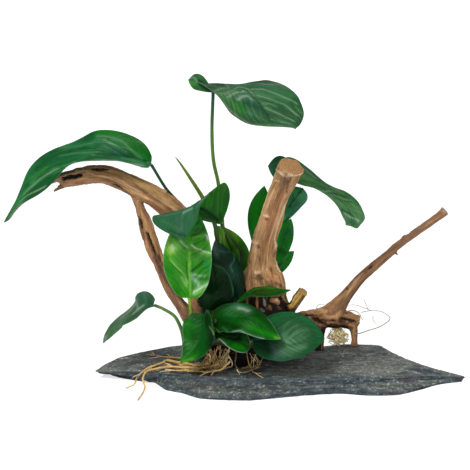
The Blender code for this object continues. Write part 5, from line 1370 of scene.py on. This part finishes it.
def makeStalks():
    lines, radii, tints = [], [], []
    for name, leaf in leaves.items():
        line = spacedLine(leaf["stalk"], stalkLook["spacing"])
        line = np.vstack([line[0] + unit(line[0] - line[1]) * stalkLook["join"], line])
        share = np.linspace(0, 1, len(line))
        start, end = leaf["radius"]
        swollen = np.exp(-(share * len(line) / 3) ** 2) + np.exp(-((1 - share) * len(line) / 5) ** 2)
        wobble = 0.05 * rough(line * 0.08, 2, 5.0)
        lines.append(line)
        radii.append((start + (end - start) * share) * (0.92 + 0.22 * swollen * stalkLook["knee"] + wobble))
        top, low = stalkLook["others"].get(name, (stalkLook["top"], stalkLook["low"]))
        tints.append(mixed(np.tile(top, (len(line), 1)), low, smoothStep(share, *stalkLook["change"])))
    piece = sweepLines("stalks", lines, radii, tints, stalkLook["sides"], stalkFinish())
    settle(piece, ["stalk_" + snake(name) for name in leaves])
    print("stalks:", len(lines))


makeStalks()


# The young leaf is still rolled up: its edge winds round it as a low step.
youngLeaf = {
    "line": [(-84, -3, 184, 0.25), (-80, -2.8, 178.5, 0.8), (-72, -2, 166, 1.25), (-62, 0, 149, 1.65),
             (-52.8, 2, 127, 1.8), (-51.2, 1, 108, 1.8), (-53, -4, 80, 1.9), (-59, -12, 53, 1.9),
             (-60, -16, 39, 1.9)],
    "spacing": 1.5, "sides": 20, "turns": 0.55, "step": 0.22, "rolled": 0.62,
    "tip": (0.09, 0.09, 0.05), "blade": (0.065, 0.125, 0.005), "foot": (0.012, 0.050, 0.003),
}


def makeYoungLeaf():
    line = spacedLine(youngLeaf["line"], youngLeaf["spacing"])
    length = len(line) * youngLeaf["spacing"]

    def wind(angle, run):
        turned = (angle / (2 * math.pi) + youngLeaf["turns"] * run / length) % 1
        return youngLeaf["step"] * (turned - 0.5) * (run < youngLeaf["rolled"] * length)

    points, faces = tubeMesh(line, youngLeaf["sides"], wind)
    share = np.repeat(np.linspace(0, 1, len(line)), youngLeaf["sides"])
    tip = np.tile(youngLeaf["tip"], (len(points), 1))
    tint = mixed(tip, youngLeaf["blade"], smoothStep(share, 0.0, 0.05))
    tint = mixed(tint, youngLeaf["foot"], smoothStep(share, 0.25, 0.42))
    piece = makePiece("youngLeaf", points, faces, stalkFinish(), {"tint": colours(tint)})
    settle(piece, ["young_leaf_rolled"])
    print("young leaf: rolled")


makeYoungLeaf()


# Creeping stems: short joints with a scar ring at each, under the stalks' feet.
rhizomes = {
    "front": [(-77, -13, 34, 3.4), (-66, -16, 37, 4.6), (-50, -17, 38, 4.8), (-34, -17, 37, 4.6),
              (-20, -16, 35, 3.4)],
    "back": [(-37, 33, 44, 3), (-22, 36, 48, 4.2), (-6, 38, 50, 4.4), (11, 37, 49, 3.2)],
    "joint": 4.2, "spacing": 0.7, "sides": 26,
    # The stems' very dark green is painted shade: they lie under the leaves.
    "green": (0.018, 0.028, 0.006), "scar": (0.045, 0.022, 0.009),
}


def makeRhizomes():
    parts, runs = [], []
    for name in ("front", "back"):
        line = spacedLine(rhizomes[name], rhizomes["spacing"])
        line[[0, -1], 3] *= 0.4
        line[[1, -2], 3] *= 0.8
        rings = lambda angle, run: (0.07 * np.abs(np.sin(math.pi * run / rhizomes["joint"])) ** 0.5 - 0.05
                                    + 0.04 * np.sin(3 * angle + run * 0.4))
        parts.append(tubeMesh(line, rhizomes["sides"], rings))
        runs.append(np.repeat(lineFrames(line)[3], rhizomes["sides"]))
    points, faces = joined(parts)
    ring = np.exp(-(np.abs(((np.concatenate(runs) / rhizomes["joint"]) + 0.5) % 1 - 0.5) / 0.13) ** 2)
    tint = mixed(np.tile(rhizomes["green"], (len(points), 1)), rhizomes["scar"], 0.8 * ring)
    piece = makePiece("creepingStems", points, faces, stalkFinish(), {"tint": colours(tint)})
    settle(piece, ["rhizome_front", "rhizome_back"])
    print("creeping stems: 2")


makeRhizomes()


# Roots. The thick ones are a line with the radius at both ends; fine ones are drawn at random round them.
roots = {
    "seed": 41, "sides": 7, "fineSides": 5,
    "gold": (0.60, 0.365, 0.115), "pale": (0.92, 0.74, 0.45), "brown": (0.10, 0.038, 0.010),
    "moss": (0.46, 0.42, 0.12), "bark": (0.14, 0.055, 0.014), "worn": (0.88, 0.70, 0.42),
    "lying": slate["top"] + 0.7,    # height of a side root that lies on the slate
    "thick": {
        "left": ((1.35, 0.55), [
            (-58, -20, 19), (-68, -16, 15.4), (-78, -8, 14.3), (-92, 0, 14.1), (-98, -8, 14.0),
            (-110, -18, 12.6), (-115, -22, 9), (-117.5, -25, 3.4), (-124, -30, 1.2)]),
        "hanging": ((1.2, 0.5), [
            (-50, -22, 19), (-60, -21, 15.6), (-74, -18, 14.4), (-92, -16, 14.2),
            (-107, -22, 12.8), (-110.5, -26, 8), (-109.5, -36, 1.8), (-113, -56, 1)]),
        "side": ((0.9, 0.35), [
            (-72, -2, 14.6), (-82, 5, 14.1), (-92, 9, 13.9), (-103, 13, 13.8), (-111, 18, 13.5)]),
        "curved": ((0.9, 0.5), [
            (-41, -25, 22), (-48, -28, 16.5), (-58, -29, 14.6), (-70, -26, 14.2),
            (-82, -23.5, 14.1), (-93, -21, 13.9)]),
        "arc": ((0.5, 0.3), [
            (-36, -24, 30), (-36.5, -27, 20), (-33, -29, 14.4), (-26, -28, 14.6),
            (-20, -25, 17), (-14, -20, 24)]),
        "short": ((0.45, 0.25), [(-28, -23, 30), (-26, -25, 22), (-23, -28, 14.5), (-16, -31, 14.0)]),
    },
    "branches": 5,       # side roots on each thick root
    "shadedStart": {"arc": 0.42},    # how much of a root's start is painted dark as shade, under the plant
    # Fine roots run from one box of space to another.
    "felt": {"count": 38, "radius": (0.28, 0.58),
             "from": ((-60, -21, 23), (-41, -12, 32)), "to": ((-78, -23, 13.7), (-48, -12, 14.4))},
    "mat": {"count": 22, "radius": (0.32, 0.6),
            "from": ((-54, -22, 14), (-40, -12, 16)), "to": ((-98, -16, 13.8), (-70, -4, 14.2))},
    "strands": {"count": 8, "radius": (0.18, 0.28),
                "from": ((-28, -24, 24), (-18, -17, 30)), "to": ((-34, -24, 13.8), (-10, -14, 14.4))},
    "clump": {"count": 34, "centre": (50, 38, 22), "reach": (10.6, 6.2, 8.2), "radius": (0.3, 0.5)},
}


def rootFinish():
    f = Finish("plantRoot", Specular_IOR_Level=0.25)
    place = f.objectPlace()
    bark = f.noise(place, 1.1, 4.0, 0.6)
    shade = f.mix(f.step(bark, 0.50, 0.75) * 0.55, f.field("tint", "Color"), roots["bark"])
    f.feed("Base Color", f.mix(f.step(bark, 0.50, 0.34) * 0.40, shade, roots["worn"]))
    f.feed("Roughness", f.step(bark, 0.3, 0.7, 0.5, 0.72))
    f.feed("Normal", f.bump(bark, 0.25, 0.7))
    return f.material


def wander(line, amount, seed):  # small bends that leave the ends in place
    run = np.linspace(0, 1, len(line))
    hold = np.sin(math.pi * run) ** 0.5
    bends = np.column_stack([rough(line * 0.11, 3, seed + 20 * k) for k in range(3)])
    return line + amount * bends * hold[:, None] * (1, 1, 0.35)


def makeRoots():
    draw = np.random.default_rng(roots["seed"])
    lines, radii, tints = [], [], []

    def addRoot(points, start, end, shade, bend, spacing=1.4):
        line = wander(spacedLine(points, spacing), bend, draw.uniform(0, 90))
        line[:, 2] = np.maximum(line[:, 2], 0.7)
        share = np.linspace(0, 1, len(line))
        knots = 1 + 0.22 * rough(line * 0.35, 2, 8.0)
        lines.append(line)
        radii.append((start + (end - start) * share) * knots)
        tints.append(np.clip(np.array(shade) * (1 + 0.35 * rough(line * 0.12, 2, 3.0))[:, None], 0, 1))
        return line

    gold, pale, brown = (np.array(roots[key]) for key in ("gold", "pale", "brown"))
    for name, ((start, end), points) in roots["thick"].items():
        main = addRoot(points, start, end, gold if start > 0.8 else 0.6 * gold, 1.2, 1.1)
        # painted shade: the root's start is darkened where it runs under the plant
        tints[-1][:int(roots["shadedStart"].get(name, 0) * len(main))] *= 0.1
        for _ in range(roots["branches"] if start > 0.8 else 1):
            k = draw.integers(3, len(main) - 3)
            way = unit(main[k + 2] - main[k - 2])
            turn = draw.choice([-1, 1]) * draw.uniform(0.5, 1.1)
            aside = np.array([way[0] * math.cos(turn) - way[1] * math.sin(turn),
                              way[0] * math.sin(turn) + way[1] * math.cos(turn), 0])
            reach = draw.uniform(5, 15)
            drop = min(main[k, 2] - roots["lying"], 3) if main[k, 2] > slate["top"] + 0.2 else 0
            far = main[k] + aside * reach - (0, 0, drop)
            halfway = main[k] + aside * reach * 0.5 + draw.normal(0, 0.8, 3) * (1, 1, 0)
            addRoot([main[k], halfway, far], 0.42, 0.2, 0.5 * (gold + pale), 0.8)
    for mass in (roots["felt"], roots["mat"], roots["strands"]):
        for _ in range(mass["count"]):
            begin, finish = draw.uniform(*mass["from"]), draw.uniform(*mass["to"])
            finish[0] = min(finish[0], begin[0] + 4)
            sag = (draw.uniform(-2, 7), draw.uniform(-5, 1), -draw.uniform(2, 6))
            knee = begin * 0.5 + finish * 0.5 + sag
            other = pale if draw.random() < 0.45 else brown
            shade = mixed(gold[None], other, np.array([draw.uniform(0, 1)]))[0]
            size = draw.uniform(*mass["radius"])
            addRoot([begin, knee, finish], size, 0.6 * size, shade, 1.8, 2.0)
    piece = sweepLines("goldenRoots", lines, radii, tints, roots["sides"], rootFinish())
    settle(piece, ["root_" + name for name in (*roots["thick"], "felt")])
    print("roots:", len(lines))

    for table in (lines, radii, tints):
        table.clear()
    clump = roots["clump"]
    centre, reach = np.array(clump["centre"]), np.array(clump["reach"])
    for _ in range(clump["count"]):
        ways = unit(draw.normal(0, 1, (4, 3)))
        points = centre + ways * reach * draw.uniform(0.7, 1.0, (4, 1))
        points[:, 2] = np.maximum(points[:, 2], slate["top"] + 0.6)
        size = draw.uniform(*clump["radius"])
        shade = mixed(pale[None] * 1.12, roots["moss"], np.array([draw.uniform(0, 1)]))[0]
        addRoot(points, size, 0.7 * size, shade, 1.2, 2.2)
    piece = sweepLines("rootClump", lines, radii, tints, roots["fineSides"], rootFinish())
    settle(piece, ["root_clump"])
    print("root clump:", len(lines))


makeRoots()


# Wiry grey roots that hang in loops at the right.
wires = {
    "grey": (0.20, 0.18, 0.16), "sides": 6, "spacing": 1.0, "bend": 0.5,
    "taper": 0.55,       # the last radius as a share of the first
    "lines": {
        "loop": (0.42, [
            (63, 36, 25), (69, 36, 26), (75, 36, 28), (85, 36, 31.5), (92, 36, 36.5), (93, 36, 40),
            (89.5, 36.4, 43), (84, 37, 45), (76, 38, 45.4), (73.4, 39, 49), (71, 40, 55)]),
        "upper": (0.3, [
            (69, 38, 43.5), (73, 38, 44.5), (76, 38, 45.4), (69, 37.6, 48.5), (62, 37, 50.5),
            (58, 36.6, 50)]),
        "twig": (0.26, [(79, 37, 40.5), (79.4, 37, 36.6), (82, 36.6, 33.5)]),
        "short": (0.42, [
            (56, 32, 46), (60, 31, 47.4), (64, 31.4, 46.6), (67, 32.4, 44), (69, 33.6, 40), (70, 34, 38)]),
        "eye": (0.3, [(32, 27, 49), (31, 26, 52), (34, 26, 54.4), (38, 26.4, 53), (38.6, 27, 50)]),
    },
}


def makeWires():
    lines, radii, tints = [], [], []
    for radius, points in wires["lines"].values():
        line = wander(spacedLine(points, wires["spacing"]), wires["bend"], 12.0)
        lines.append(line)
        radii.append(radius * np.linspace(1, wires["taper"], len(line)))
        tints.append(np.tile(wires["grey"], (len(line), 1)))
    piece = sweepLines("wiryRoots", lines, radii, tints, wires["sides"], rootFinish())
    settle(piece, ["root_wiry_loop", "root_wiry_short"])
    print("wiry roots:", len(lines))


makeWires()


# The camera stands where the photograph was taken from.
camera = {"target": (-37, 0, 120), "distance": 1100, "elevation": 14, "lens": 105.3}
studio = {
    "key": {"place": (-520, -760, 980), "size": 420, "power": 15},
    "fill": {"place": (900, -700, 460), "size": 700, "power": 3.5},
    "top": {"place": (120, 300, 1150), "size": 700, "power": 6},
    "world": 0.22, "floor": (0.50, 0.50, 0.50), "floorReach": 6000, "floorLevel": -0.05,
    "glow": (0.66, 1.05), "glowReach": (350, 1500),
}


def pointAt(thing, target):
    way = Vector(target) * mm - thing.location
    thing.rotation_euler = way.to_track_quat("-Z", "Y").to_euler()


def makeStudio():
    view = bpy.data.cameras.new("viewCamera")
    view.lens = camera["lens"]
    view.clip_start, view.clip_end = 0.01, 20
    viewer = bpy.data.objects.new("viewCamera", view)
    tilt = math.radians(camera["elevation"])
    back = Vector((0, -math.cos(tilt), math.sin(tilt))) * camera["distance"]
    viewer.location = (Vector(camera["target"]) + back) * mm
    pointAt(viewer, camera["target"])
    bpy.context.scene.collection.objects.link(viewer)
    bpy.context.scene.camera = viewer
    for name in ("key", "fill", "top"):
        lamp = bpy.data.lights.new(name + "Light", "AREA")
        lamp.size = studio[name]["size"] * mm
        lamp.energy = studio[name]["power"]
        light = bpy.data.objects.new(name + "Light", lamp)
        light.location = Vector(studio[name]["place"]) * mm
        pointAt(light, camera["target"])
        bpy.context.scene.collection.objects.link(light)
    world = bpy.data.worlds.new("paleRoom")
    world.use_nodes = True
    world.node_tree.nodes["Background"].inputs["Color"].default_value = (1, 1, 1, 1)
    world.node_tree.nodes["Background"].inputs["Strength"].default_value = studio["world"]
    bpy.context.scene.world = world
    bpy.context.scene.view_settings.view_transform = "Standard"
    ground = Finish("paleFloor", Base_Color=(*studio["floor"], 1), Roughness=0.9, Specular_IOR_Level=0.0,
                    Emission_Strength=1.0)
    away = ground.node("VectorMath", {"operation": "LENGTH"}, {0: ground.objectPlace()}, 1)
    glow = ground.step(away, *studio["glowReach"], *studio["glow"])
    ground.feed("Emission Color", ground.node("CombineXYZ", None, {0: glow, 1: glow, 2: glow}))
    reach, level = studio["floorReach"], studio["floorLevel"]
    corners = [(x * reach, y * reach, level) for x, y in ((-1, -1), (1, -1), (1, 1), (-1, 1))]
    floor = makePiece("floor", corners, [(0, 1, 2, 3)], ground.material)


makeStudio()
